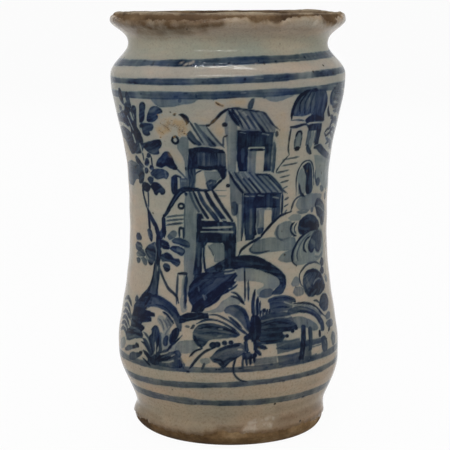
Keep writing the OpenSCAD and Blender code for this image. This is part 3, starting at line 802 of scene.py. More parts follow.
def tree(brush):
    """A slender tree with pressed-brush leaves, rising from the ground at the left."""
    brush.stroke([-48.7, 120, -48.1, 116.4, -46.8, 113, -45, 110], [1.5, 1.5, 1.6], DEEP)
    brush.stroke([-45.6, 110.8, -43.6, 108, -40.8, 104.8, -38.2, 101.4, -37, 97], [1.6, 2.4, 2.8, 3.0],
                 DEEP)
    brush.stroke([-44, 119, -44, 114.6, -44.2, 110], 1.3, [STRONG, 0.8])
    brush.stroke([-44.4, 110, -43.8, 105, -43.2, 100], 1.7)
    brush.stroke([-45.8, 136.4, -45.4, 132.4], 1.2, 0.8)
    brush.stroke([-39.6, 135, -39.6, 130], 1.0, 0.8)
    brush.fill([-39.4, 88, -36, 88, -36, 80, -36.2, 74, -36.5, 70, -45.4, 69.4, -42.6, 72.2, -41, 75,
                -40, 80], 0.78)
    brush.stroke([-39.2, 87, -39.8, 80, -41, 75.4, -43.4, 71.8, -47.6, 69], [1.2, 1.4, 1.9], DEEP)
    brush.stroke([-36, 86, -36.1, 79, -36.5, 72], 0.9)
    brush.lift([-37.3, 83.4, -37.1, 82.2], 0.9, 0.6)
    brush.stroke([-35.6, 84.4, -34.8, 81.6, -32, 77.5, -29.5, 74.6, -25, 71.6, -23.6, 68.6], 1.25, DEEP)
    brush.stroke([-37.3, 99, -36.8, 93, -37.2, 86], [3.0, 4.4, 3.2], DEEP, taper=(0.8, 0.9))
    brush.stroke([-36.4, 97, -34.6, 99.4, -32.6, 102.4], [2.6, 3.4, 3.4], DEEP)
    brush.lift([-40.4, 101.8, -40.2, 99.4, -40.2, 97.6], [1.2, 1.0, 0.7], 0.9)
    washes = (
        ([-68, 129.2, -63.3, 130.6, -57.4, 131.2, -52, 130.4, -48, 127, -49, 123, -53.3, 123, -55.5, 122.4,
          -58.3, 120.3, -60.1, 119.6, -68, 120.6], 0.74),
        ([-69, 152.6, -62, 153.4, -57, 155, -52, 154, -51, 149, -55, 147.8, -60, 149.2, -69, 149.6], 0.88),
        ([-69, 146, -62, 147.3, -57, 146.6, -53, 145, -49, 141, -52, 136, -57, 134.8, -60, 138,
          -63.3, 140.7, -69, 142], 0.86),
        ([-62, 155.6, -60.4, 157, -57.6, 156.8, -58.4, 155, -60.6, 154.8], 0.88),
    )
    for outline, tone in washes:
        brush.fill(outline, tone, pull=4.0)
    leaves = (
        ([-58.4, 162.4, -57.4, 165, -55.6, 165.2, -54.2, 163, -54, 160, -54.6, 158, -56.4, 158.4,
          -57.8, 160], 0.97),
        ([-51.6, 162, -50, 164.2, -48.3, 163, -48, 160, -48.6, 156.6, -53.6, 156.4, -54.4, 158,
          -52.4, 158.8], 0.96),
        ([-56, 154.6, -53.6, 157, -50.2, 156.8, -48, 155, -47, 150, -46.2, 148, -44.4, 145, -43.9, 141,
          -46, 136.4, -52, 135.4, -54.6, 138, -53.4, 143, -52.6, 147.4, -54.6, 150], 0.93),
        ([-48.4, 156, -46.8, 158, -44.8, 157.6, -44.6, 155.4, -45.6, 151, -46.4, 148, -47.4, 150,
          -47.2, 154], 0.95),
        ([-43.8, 150.4, -43, 154, -41.6, 158.8, -39.6, 160, -38, 158.8, -39, 155.6, -40, 152.4, -42, 150.4],
         0.97),
        ([-38.6, 151.6, -37.4, 154.8, -34.6, 158, -31.4, 158.3, -29.2, 156.8, -29.2, 155.6, -31.6, 154.8,
          -32, 152.8, -35.1, 151.1, -37.6, 150.9], 0.97),
        ([-44.4, 149, -42, 150.2, -38.4, 150.3, -35.5, 150.2, -35.2, 148.6, -36.6, 147, -38.1, 146.6,
          -38, 145.2, -40.4, 144.3, -42.6, 145, -44.2, 147], 0.95),
        ([-45.2, 140.4, -41, 141.4, -36.4, 142.8, -33, 143.2, -32, 142, -32.4, 140, -34, 138.4,
          -33.9, 136.6, -36, 135.9, -39.4, 136, -42.4, 137.2, -44.4, 138.6], 0.94),
        ([-43.2, 134.4, -42, 136.2, -40, 136, -39.8, 134.8, -41.4, 134], 0.9),
        ([-45.4, 131.4, -43.7, 133.8, -41.9, 133.6, -41.5, 131.7, -43.3, 130.2, -45.1, 130.4], 0.86),
        ([-46.2, 127.6, -45.4, 129.2, -43.4, 129.2, -42.8, 127.8, -43.8, 126.5, -45.6, 126.5], 0.93),
        ([-41.9, 129.4, -40.6, 130.6, -38.8, 130.2, -39, 128.7, -41, 128.4], 0.92),
        ([-37.2, 130.6, -36, 133, -33.6, 135.2, -31, 137.4, -28.4, 137.6, -27, 135.8, -26, 133.4,
          -24.4, 130.2, -26, 129.5, -28.5, 130.2, -31, 131, -33.6, 130.1], 0.93),
        ([-41.6, 127.1, -39.2, 128.8, -36, 129.4, -32.8, 129.3, -30.1, 128.4, -29.5, 126.7, -31, 125,
          -32.8, 125.3, -36.9, 124.5, -39.4, 125.3, -41.2, 126.2], 0.9),
        ([-44.2, 124, -42.4, 125.2, -39.5, 125, -39.8, 123.2, -41.5, 121.6, -43, 122.5], 0.92),
        ([-42.4, 120.6, -40.5, 122.5, -38.3, 123.1, -35.5, 122.5, -33.2, 120.9, -32, 119.4, -32.6, 117.9,
          -34.6, 117.5, -35.8, 118.5, -37.6, 117, -39.3, 117.4, -40.2, 119], 0.96),
        ([-49.3, 120.2, -48.5, 121.6, -46.4, 122.5, -43.3, 122, -41.4, 120.8, -43.2, 118.4, -45.6, 117.9,
          -47.8, 118.6], 0.96),
        ([-53.6, 133.3, -52.4, 134.2, -50.4, 133.6, -48.6, 132, -45.8, 129.5, -47.8, 129, -50.6, 130,
          -52.9, 131.4], 0.96),
        ([-54.4, 129.6, -51, 130, -48, 129.4, -46.4, 127, -46.6, 124.4, -47.8, 122.2, -50.2, 121.3,
          -52.2, 121.9, -51.6, 124, -53.6, 126], 0.9),
    )
    for outline, tone in leaves:
        brush.fill(outline, tone, streak=0.12, pull=20.0)
    low_boughs = (
        ([-45.9, 100, -44.4, 100.7, -42, 99.9, -41.2, 97, -42, 95, -43.6, 95.8, -45, 97.8], 0.86),
        ([-57.8, 95.8, -56.4, 97.3, -53.4, 97.5, -51, 96.3, -51.4, 94.8, -54.6, 94.3, -57, 94.5], 0.96),
        ([-58.4, 91.4, -56.6, 93, -52.6, 93.2, -50.2, 92, -50.6, 90.4, -53.8, 89.3, -57.2, 89.8], 0.96),
        ([-57.4, 87.6, -54, 89.4, -49.4, 90.4, -46.6, 89.4, -47.4, 87.4, -51.4, 86.8, -55.6, 86.4], 0.9),
        ([-56.8, 85.4, -54, 86.2, -51.8, 85.4, -52.2, 83.9, -55, 83.5], 0.86),
        ([-51.8, 86.2, -48.6, 87, -45.6, 85.8, -45.6, 83.7, -48.2, 83.6], 0.62),
        ([-47.6, 90.6, -45.4, 92.6, -42, 94.2, -39.4, 95, -38, 92, -38.4, 88, -40, 86, -41.4, 84.3,
          -43.6, 84.2, -45.5, 86.4, -47.2, 88.6], 0.92),
        ([-31.4, 98.4, -30, 100.2, -27.5, 101.5, -25.7, 100.9, -25.9, 98.9, -28, 97.6, -30.2, 97.2], 0.66),
        ([-28.7, 96.8, -27, 98.1, -24, 98.4, -21, 97.7, -18.9, 96.6, -18.8, 94.3, -22, 94.3, -25, 95.4,
          -27.6, 95.7], 0.95),
        ([-30.2, 93, -28, 94.4, -25, 94.5, -22, 93.6, -21.2, 92, -22.4, 90.3, -25, 90.9, -27.6, 91.9],
         0.84),
        ([-36, 96.6, -33.4, 96.6, -30.4, 95.4, -29.8, 93, -32, 92.4, -34.6, 93], 0.97),
        ([-35.6, 89.6, -32, 91, -29.4, 90.5, -27, 88.7, -24.5, 88.7, -23.6, 87, -25.3, 85.1, -27.6, 85.9,
          -30, 86.9, -34.6, 86.8], 0.97),
        ([-34, 84.5, -32.5, 86.1, -30, 85.6, -29.2, 83.5, -31, 82.2, -32.7, 82.9], 0.9),
    )
    for outline, tone in low_boughs:
        brush.fill(outline, tone, streak=0.16, pull=-8.0)
    gaps = (
        ([-52.8, 152.4, -51.4, 149.4, -50.2, 146.6], 0.9, 0.8),
        ([-49.6, 154.2, -48.6, 151.6], 1.7, 0.9),
        ([-44.2, 155.6, -45.2, 151.6, -46, 148.4], 0.9, 0.9),
        ([-51.6, 143.8, -51, 140.9], 1.7, 0.9),
        ([-43.6, 147.4, -43.6, 144.2], 1.2, 0.9),
        ([-46.9, 140, -46, 136.4], 1.0, 0.85),
        ([-43.8, 137.8, -44.2, 134.6], 1.0, 0.9),
        ([-66, 148.9, -61.5, 148.6, -57.8, 147.9, -55.1, 146.6, -53.7, 145.6], 1.1, 0.85),
        ([-52.2, 161.2, -51.7, 159.6], 1.1, 0.9),
        ([-58, 157.6, -54.6, 157], 0.7, 0.8),
        ([-31.6, 128.7, -31.2, 126], 0.9, 0.35),
        ([-46.9, 129.6, -46.6, 127], 0.6, 0.7),
        ([-48.4, 90.2, -46.6, 88.6, -44.8, 86.8], 0.8, 0.7),
        ([-39.7, 94, -38.5, 91.6, -38.8, 87.4], 0.8, 0.5),
        ([-35, 92.4, -33.6, 90.9], 1.4, 0.9),
        ([-30.2, 95, -26, 95, -22, 94.2], 0.6, 0.8),
        ([-25, 93, -22.6, 92.2], 1.9, 0.4),
        ([-45.2, 98.9, -43.8, 97], 1.3, 0.35),
        ([-45, 89.4, -42.4, 88], 0.9, 0.3),
    )
    for gap, width, strength in gaps:
        brush.lift(gap, width, strength)


def bushes(brush):
    """Round cloud-like bushes up the hill at the right."""
    hill = [4.6, 90.6, 5.2, 91.4, 6.6, 93.9, 10.5, 96.6, 15.1, 98.9, 18.2, 102, 22, 105.5, 25.8, 108.2,
            29, 109.2, 32.8, 109.9]
    brush.stroke(hill, 1.2, DEEP)
    brush.stroke([32.4, 110.4, 34.2, 114.5, 36.6, 116.2, 40.1, 116.8], [1.2, 0.9, 0.9])
    brush.fill([35.2, 112.7, 37.8, 115.8, 45.4, 117, 53, 116.4, 58, 115, 51.3, 110.8, 43.6, 109.6,
                37.8, 110.2], 0.38)
    brush.stroke([36, 109.4, 41, 108.8, 45, 109.4], 1.5, 0.36)
    brush.fill([46.6, 109.4, 47.6, 110.4, 49, 109.6, 48.4, 108.2, 47, 108.2], 0.6)
    brush.fill([30.4, 107, 34, 108.6, 39, 107.6, 38, 105.6, 33, 105.6], 0.3)
    brush.fill([22.8, 100.5, 24.3, 103.6, 27.4, 105.2, 32, 105.6, 33.4, 103, 33, 98.4, 28, 97, 24.6, 98],
               0.38)
    brush.stroke([25.1, 103.9, 24.2, 100.6, 25.6, 97.9, 28.4, 96.8], 0.9, 0.56)
    brush.stroke([34.8, 104.8, 32.8, 103.4, 32.4, 101, 34.2, 99, 36, 98.3], 1.2)
    brush.stroke([36.4, 104.4, 34.8, 102.6, 34.8, 100.6, 36, 99.4], 0.8, STRONG)
    brush.fill([36.9, 102.1, 37.8, 104.6, 40.1, 106.3, 44.2, 107.5, 48.4, 106.9, 51.9, 105, 54.8, 102.7,
                55.6, 100.3, 51.3, 99.6, 45.4, 99.8, 40.7, 98.7, 38.2, 99.3], 0.92, streak=0.1, pull=-10.0)
    brush.stroke([38, 101, 39.4, 99.8, 42, 99.6], 2.0, DEEP)
    brush.lift([42, 104.4, 46, 105, 50, 103.6], 1.2, 0.14)
    petals = [50.2, 111.4, 51.8, 113.9, 55, 114, 60, 111.6, 63.4, 108.6, 63, 104.6, 61, 101, 57.6, 101.4,
              55.8, 104.2, 52.4, 106.6, 51.6, 109]
    brush.fill(petals, 0.8, pull=-40.0)
    brush.stroke([51, 112, 55, 113.2, 60, 110.8], 1.2)
    brush.stroke([54, 107.6, 57, 105.8, 60.6, 102], 1.4)
    brush.lift([52, 110.7, 56, 109.8, 61, 107.2], 0.8, 0.6)
    brush.lift([54.6, 108, 58, 105.2], 0.6, 0.35)
    brush.fill([10.2, 93.6, 12, 96.3, 15.8, 98.3, 22, 98.7, 28, 98, 35, 97.6, 34.6, 92.4, 24, 92.2, 15, 92],
               0.42)
    brush.stroke([12, 95.4, 10.4, 93.8, 11.6, 92.4, 15.1, 92, 20.4, 92.8], [0.7, 0.9, 0.9, 0.6], 0.72)
    brush.fill([24.8, 88.4, 28, 91.2, 34, 91.8, 34, 87, 28, 87], 0.4)
    brush.fill([33.6, 86, 33.6, 90, 36, 94.4, 40, 97.6, 46, 99.4, 56, 99.4, 61, 96, 61, 88, 54, 85,
                44, 84.8, 36, 84.6], 0.33)
    outline = [36, 84.4, 33.6, 86.4, 33.2, 89.6, 34.7, 92.8, 38.2, 96.6, 43.5, 99, 48.2, 99.8, 55.8, 99.3]
    brush.stroke(outline, [1.3, 1.3, 1.2, 1.0, 0.9])
    brush.stroke([37, 86.6, 36.4, 89.6, 38.4, 93.6, 42, 96.6, 46.6, 98.4], 0.8, 0.56)
    brush.lift([35.6, 87, 35.2, 90, 37, 93.4], 0.9, 0.5)
    brush.lift([39.2, 88, 38.8, 91, 41, 95], 0.7, 0.4)
    brush.stroke([43, 90, 41.3, 91.6, 41.6, 93.9, 43.5, 95.8, 46.6, 97], 1.2)
    brush.lift([43.8, 90.8, 42.8, 92.8, 44.4, 95.2, 47, 96.2], 0.9, 0.75)
    brush.fill([45, 92.4, 45.8, 94.7, 48.2, 96.7, 51.2, 98.6, 55.8, 98.7, 59.7, 96.6, 59, 92, 55.1, 88.8,
                52.8, 89.8, 50.5, 90.9, 48.9, 89.6, 46.6, 90], 0.72)
    brush.stroke([45.2, 93.4, 45.8, 91.2, 47.6, 89.9, 50, 91], 1.6, DEEP)
    brush.stroke([51, 91, 53, 89.6, 55.4, 89], 1.4)
    brush.stroke([47, 96, 51.2, 98.3, 56, 98.5], 1.5, 0.88)
    brush.stroke([53, 94, 56, 93, 59, 93.6], 1.6, 0.84)
    brush.lift([48, 94.6, 50.6, 93.4], 2.0, 0.35)
    brush.lift([51, 88.2, 55, 87.4, 58.4, 89], 0.9, 0.8)
    brush.stroke([50, 87, 55, 86.2, 59, 87.8], 0.9, MID)
    brush.stroke([40.4, 73.8, 38, 75.6, 37.3, 79, 38.5, 81.3, 42, 83.6, 45.8, 84.5, 51.2, 84.2, 56, 82.4],
                 [0.8, 0.9, 1.0, 1.1, 1.0])
    brush.fill([39.2, 75.9, 40, 79, 42.8, 81, 47.4, 81.4, 52, 80.6, 55.8, 78.3, 58.5, 74.3, 59.4, 71.2,
                55.1, 69.5, 51.2, 68.7, 48.2, 69.2, 45.1, 68.7, 42, 69.9, 39.6, 72.8], 0.78, pull=30.0)
    brush.stroke([40.6, 79, 44, 80.8, 49, 80.8, 54, 78.8], 1.4, DEEP)
    brush.stroke([44, 71, 47.6, 73, 52, 73.6, 56, 72.4, 58.6, 71], [2.2, 3.0, 3.4, 2.4], DEEP)
    brush.stroke([40.4, 75.6, 41.4, 72.4, 44.4, 69.8], 1.6, DEEP)
    brush.lift([47.4, 74.6, 49.6, 76, 53, 76.4, 55, 75.6], 0.8, 0.6)
    brush.lift([42.4, 78, 43.6, 75, 45, 73.4], 1.2, 0.25)
    brush.fill([31.6, 76.6, 34.4, 79.4, 37, 78.6, 36.6, 75.4, 33, 75.2], 0.34)
    brush.fill([32.2, 72.4, 34.4, 75, 38.6, 74, 39.4, 71.2, 35, 70.4], 0.44)
    for base, tip, width, tone in (
        ((55.6, 83.4), (61.4, 83.2), 4.2, 0.84),
        ((55, 79.8), (60.6, 79), 3.2, 0.8),
        ((60, 76), (64.6, 73.6), 3.0, 0.5),
    ):
        brush.leaf(base, tip, width, tone)


def foreground(brush):
    """The dark bridge-like bank and the mounds under the houses."""
    brush.fill([3.4, 85, 10, 85.4, 15, 84.4, 20, 82.4, 24.6, 80.6, 25.4, 77.4, 22, 75, 19, 71.6, 15, 72,
                13.6, 75, 16.8, 76.6, 16.6, 78.2, 13, 79.2, 8, 79.4, 3.6, 80], 0.3)
    arch = [2, 90.6, 9.7, 91.3, 15.8, 89.8, 21.2, 86.8, 25.8, 83.6, 28.5, 80.6, 29, 78, 28.2, 75,
            25.6, 72.4, 20.8, 73, 22.8, 75.2, 25, 76.8, 25, 79.2, 22, 81.4, 17.4, 83.2, 12, 85, 6.6, 85.5,
            2, 85.2]
    brush.fill(arch, 0.94, streak=0.1, pull=-10.0)
    brush.stroke([4, 89.6, 10, 90, 16, 88.2, 22, 84.8], 1.6, DEEP)
    brush.stroke([26, 82, 27.6, 79, 26.6, 75.6], 2.0, DEEP)
    brush.lift([5.4, 87.2, 11, 87], 1.2, 0.12)
    mound = [-16, 82.4, -11, 83.2, -4, 84, 3, 84.6, 4.4, 82, 2.6, 79.8, 3.4, 79, 1.6, 78, 2, 76.8,
             0.4, 76.2, 0.6, 74.8, -2, 73.6, -3.7, 72, -5.2, 70, -7.5, 68.5, -10.5, 67, -11.6, 65.4,
             -17, 65, -16.4, 67.6, -18.4, 70.2, -19, 73, -18.5, 76.6, -16.6, 79.6]
    brush.fill(mound, 0.93, streak=0.10, rounded=False, pull=38.0)
    for points, width, tone in (
        ([-17.6, 72, -13, 76, -6, 80.6], 2.4, DEEP),
        ([-15.6, 67, -10, 71.6, -3, 76.6, 2.4, 79.6], 2.6, DEEP),
        ([-16.4, 80.4, -8, 81.6, 2, 82.8], 2.0, DEEP),
        ([-0.6, 76.4, 1.6, 77.6, 3.8, 79.4], 0.9, DARK),
        ([-0.4, 75, 2.4, 76.4, 4.4, 78], 0.8, DARK),
    ):
        brush.stroke(points, width, tone)
    brush.lift([-13.9, 76.4, -13.5, 74.8], 0.6, 0.4)
    brush.lift([-11.6, 73, -10.7, 71], 0.6, 0.6)
    brush.lift([-10.6, 72.8, -10, 71.8], 0.5, 0.4)
    brush.fill([-12, 65.4, -6, 67, -2.6, 70.4, 2.4, 73, 6, 70.6, 3, 68, -4, 65.4], 0.3)
    bank = [-22.6, 59.6, -22.6, 62.8, -19, 64.5, -14, 65.1, -9, 65, -8.6, 62.8, -13, 62, -17, 61.4, -20, 60]
    brush.fill(bank, 0.96, streak=0.1, rounded=False, pull=10.0)
    brush.fill([-23, 71, -20.6, 70.4, -19, 67, -19.8, 65, -21.6, 64.6, -22.4, 67], PALE)
    brush.stroke([-20.6, 70, -20, 66.4], 1.4, MID)
    crown = [-42, 64, -39.7, 65.2, -35.5, 65.4, -31.8, 64.8, -28.1, 63.2, -25.5, 61.1, -23.6, 58,
             -22.4, 55.6, -21, 56, -21.2, 59, -22, 62.6, -24.4, 66.2, -28.1, 68.6, -32.3, 70.2, -36.5, 71.2,
             -44, 70.6]
    brush.fill(crown, 0.74, streak=0.12, rounded=False, pull=-25.0)
    brush.stroke([-42, 69.6, -36, 70, -30, 68.2, -25, 64.8, -22.6, 61], 1.2)
    brush.stroke([-38, 66.4, -31, 66, -26, 62.8], 0.9)
    hillock = [-43.4, 71.4, -45, 70, -48.6, 68.4, -50.4, 66.2, -52.3, 65, -53.5, 63.6, -53.4, 61.8,
               -54.6, 58, -54.6, 55.8, -53.9, 54.2, -55.5, 52.5, -57.7, 51.4, -58, 50, -57, 46.8,
               -53.9, 47.2, -50.7, 48.2, -48.1, 49.2, -42.9, 50, -42.7, 51.6, -44.2, 53, -42.4, 54.4,
               -42.6, 55.2, -45.2, 56.2, -44, 57.2, -40.7, 57.8, -38.2, 58.6, -38.4, 60.2, -39.2, 60.7,
               -36.2, 61, -36.6, 62.4, -40, 62.9, -43, 63.2, -42, 64.6, -39.6, 66.6, -39, 70.8]
    brush.fill(hillock, 0.91, streak=0.12, rounded=False, pull=8.0)
    for points, width, tone in (
        ([-52, 63, -46, 62.4, -37, 61.8], 1.8, DEEP),
        ([-53, 60, -46, 59.4, -39, 59.4], 1.6, DEEP),
        ([-50, 66.4, -45, 68.4, -41, 69.6], 2.0, DEEP),
        ([-54, 57, -49, 56, -43, 54.8], 1.4, DEEP),
        ([-56.6, 50.4, -50, 51.4, -43.6, 51], 1.2, DEEP),
        ([-44, 65, -42.4, 67.6, -40.4, 70], 1.6, DEEP),
    ):
        brush.stroke(points, width, tone)
    brush.lift([-55.4, 53.6, -50, 53.4, -45.6, 53], 0.6, 0.4)
    brush.lift([-54, 48.4, -49, 50.2], 0.5, 0.25)
    brush.fill([-53.4, 67.4, -52, 68.6, -50.4, 67.6, -50.8, 65.8, -53, 65.6], DARK)
    brush.fill([-59.2, 42.3, -55, 44.6, -50.2, 45.6, -45.5, 46.9, -45, 45.6, -50.2, 43.8, -55, 41.9,
                -59, 41.4], 0.78, rounded=False)
    brush.fill([-54.5, 38.4, -53.4, 40.8, -50.2, 42.4, -46, 42.9, -42.8, 43.9, -43.4, 42.2, -46, 40.6,
                -48.6, 39, -53.4, 37.8], 0.76)
    brush.stroke([-45, 43, -42.9, 43.7], 1.2)
    brush.stroke([-48, 46.6, -45.6, 46.4], 1.4)
    for height, reach, tone in ((65.2, -55.4, 0.84), (61.8, -55.6, 0.88), (58.8, -55.2, 0.9),
                                (56, -55.6, 0.8), (53.4, -56.6, 0.8), (50.6, -57.8, 0.76)):
        blade = [(-68, height - 1.2), (-63, height + 0.5), (-59, height - 0.4), (reach, height - 2.6)]
        brush.stroke(blade, [1.4, 1.9, 1.8, 1.1], tone)
    brush.fill([-60, 58.4, -57, 59.4, -54.4, 58.6, -55, 57, -58.6, 56.8], 0.68)
    brush.fill([-66, 45, -60, 47.4, -58, 45, -61, 42, -67, 41])


def small_plant(brush):
    """A spray of pressed leaves at the foot of the tree."""
    brush.fill([-34, 62, -31, 61.6, -28, 59, -27, 55.4, -29.4, 53.6, -32, 57, -34.6, 59.6], 0.2)
    brush.fill([-29.6, 62, -26.6, 60.4, -25.4, 58.8, -27.4, 57.6, -30, 59], 0.4)
    for points, width, tone in (
        ([-31.8, 63.8, -29.4, 62.9, -27, 60.9, -25.2, 59.2], 1.1, DARK),
        ([-34, 60.4, -32.4, 59.6, -31.2, 58, -30.2, 55.6], 0.9, 0.6),
        ([-31.4, 60.6, -29.4, 58.8, -28.2, 56.6], 0.8, MID),
        ([-26, 58.4, -28, 56, -29.6, 53.4], 0.8, MID),
        ([-29, 60.8, -27.2, 59, -26.8, 57.6], 0.9, STRONG),
    ):
        brush.stroke(points, width, tone)
    brush.fill([-38, 44, -30, 46, -24, 46.4, -20.5, 44, -20.4, 39.6, -38, 39.4], 0.7)
    brush.fill([-36, 56, -30, 54, -24, 54, -24, 46, -30, 44, -37, 45], 0.24)
    leaf = [-37.7, 55.5, -35, 57, -33.3, 55.6, -32.2, 52.4, -32.2, 49.8, -33.2, 46.6, -33.9, 42.6,
            -35.4, 43, -36.6, 45.6, -38.1, 48.7, -38.7, 51.4, -37.3, 53]
    brush.fill(leaf, 0.88)
    brush.stroke([-37.6, 54.8, -35.2, 56.6, -33.6, 55.4], 1.2, DEEP)
    brush.stroke([-38.2, 51, -37, 47.6, -35.4, 44], 1.2, DEEP)
    brush.lift([-36, 54, -35.4, 50.8], 0.7, 0.25)
    brush.lift([-34.5, 49.4, -34.1, 46.4, -34.7, 43], 0.55, 0.9)
    for points, width, tone in (
        ([-42.8, 53, -39.7, 51.4, -37, 48, -35, 44.4], 1.0, DARK),
        ([-43, 50.2, -40.4, 49, -37.6, 46.4, -35.6, 43.6], [1.2, 2.0, 2.2, 1.6], DARK),
        ([-43.4, 48.4, -40.6, 47.6, -37.6, 44.6, -35, 41.4], [1.0, 1.6, 1.8, 2.2], 0.88),
        ([-41.9, 44.7, -38.8, 42.6, -36.4, 40.6], [1.4, 2.4, 2.6], DARK),
        ([-42.8, 41.1, -40.2, 39.8, -37.6, 38.2], 1.1, DARK),
        ([-31.8, 54, -32, 50, -31.4, 46.4, -33.8, 42.4], [1.0, 1.6, 1.8, 1.4], 0.86),
        ([-20.6, 54.4, -23.8, 51, -26.2, 48.8, -28.2, 45.8, -32, 43, -35, 41], [0.8, 1.0, 1.1, 1.2], DARK),
        ([-33, 41.2, -28.1, 43, -24.4, 44.6], [1.4, 1.9, 1.2], DEEP),
        ([-30.4, 46, -27.4, 47.2, -25.4, 49], 1.0, DARK),
    ):
        brush.stroke(points, width, tone)
    brush.lift([-42.2, 51.2, -39.4, 49.8, -37, 46.4], 0.6, 0.7)
    brush.fill([-30.2, 52, -29, 53.4, -27.4, 53, -27.2, 50, -28.6, 48.4, -30, 49.4], 0.8)
    brush.lift([-27.2, 52, -27.3, 49.6], 0.55, 0.8)
    brush.fill([-27.3, 52.8, -26.5, 54.6, -25, 57, -22.6, 57.3, -22.2, 54.5, -23.9, 51.3, -26, 49.7,
                -27, 50.8], DEEP)
    brush.fill([-38, 41.6, -36.6, 44.4, -33.4, 43.4, -31.8, 41.2, -33.4, 39, -36.8, 39.2], DEEP)
    brush.fill([-24, 42.3, -22.4, 43.2, -20.7, 42.9, -20.5, 39.8, -24.5, 39.6], DEEP)
    for points, width, strength in (
        ([-31, 44.6, -28.6, 45.4, -26, 46.8], 0.7, 0.85),
        ([-30.4, 41, -27.6, 41.4, -24.8, 42.4], 0.8, 0.85),
        ([-37, 42.8, -35.6, 43.6, -34.6, 45], 0.5, 0.6),
        ([-25.6, 44.4, -23.6, 45.6], 0.6, 0.7),
    ):
        brush.lift(points, width, strength)
    brush.fill([-24, 47.4, -22.6, 51, -18, 52.4, -13.8, 52, -13.6, 47.6, -18, 46.4, -22, 46.4], 0.36)
    brush.fill([-24.6, 46.6, -22, 47.6, -20.6, 45.4, -22.4, 44], 0.7)


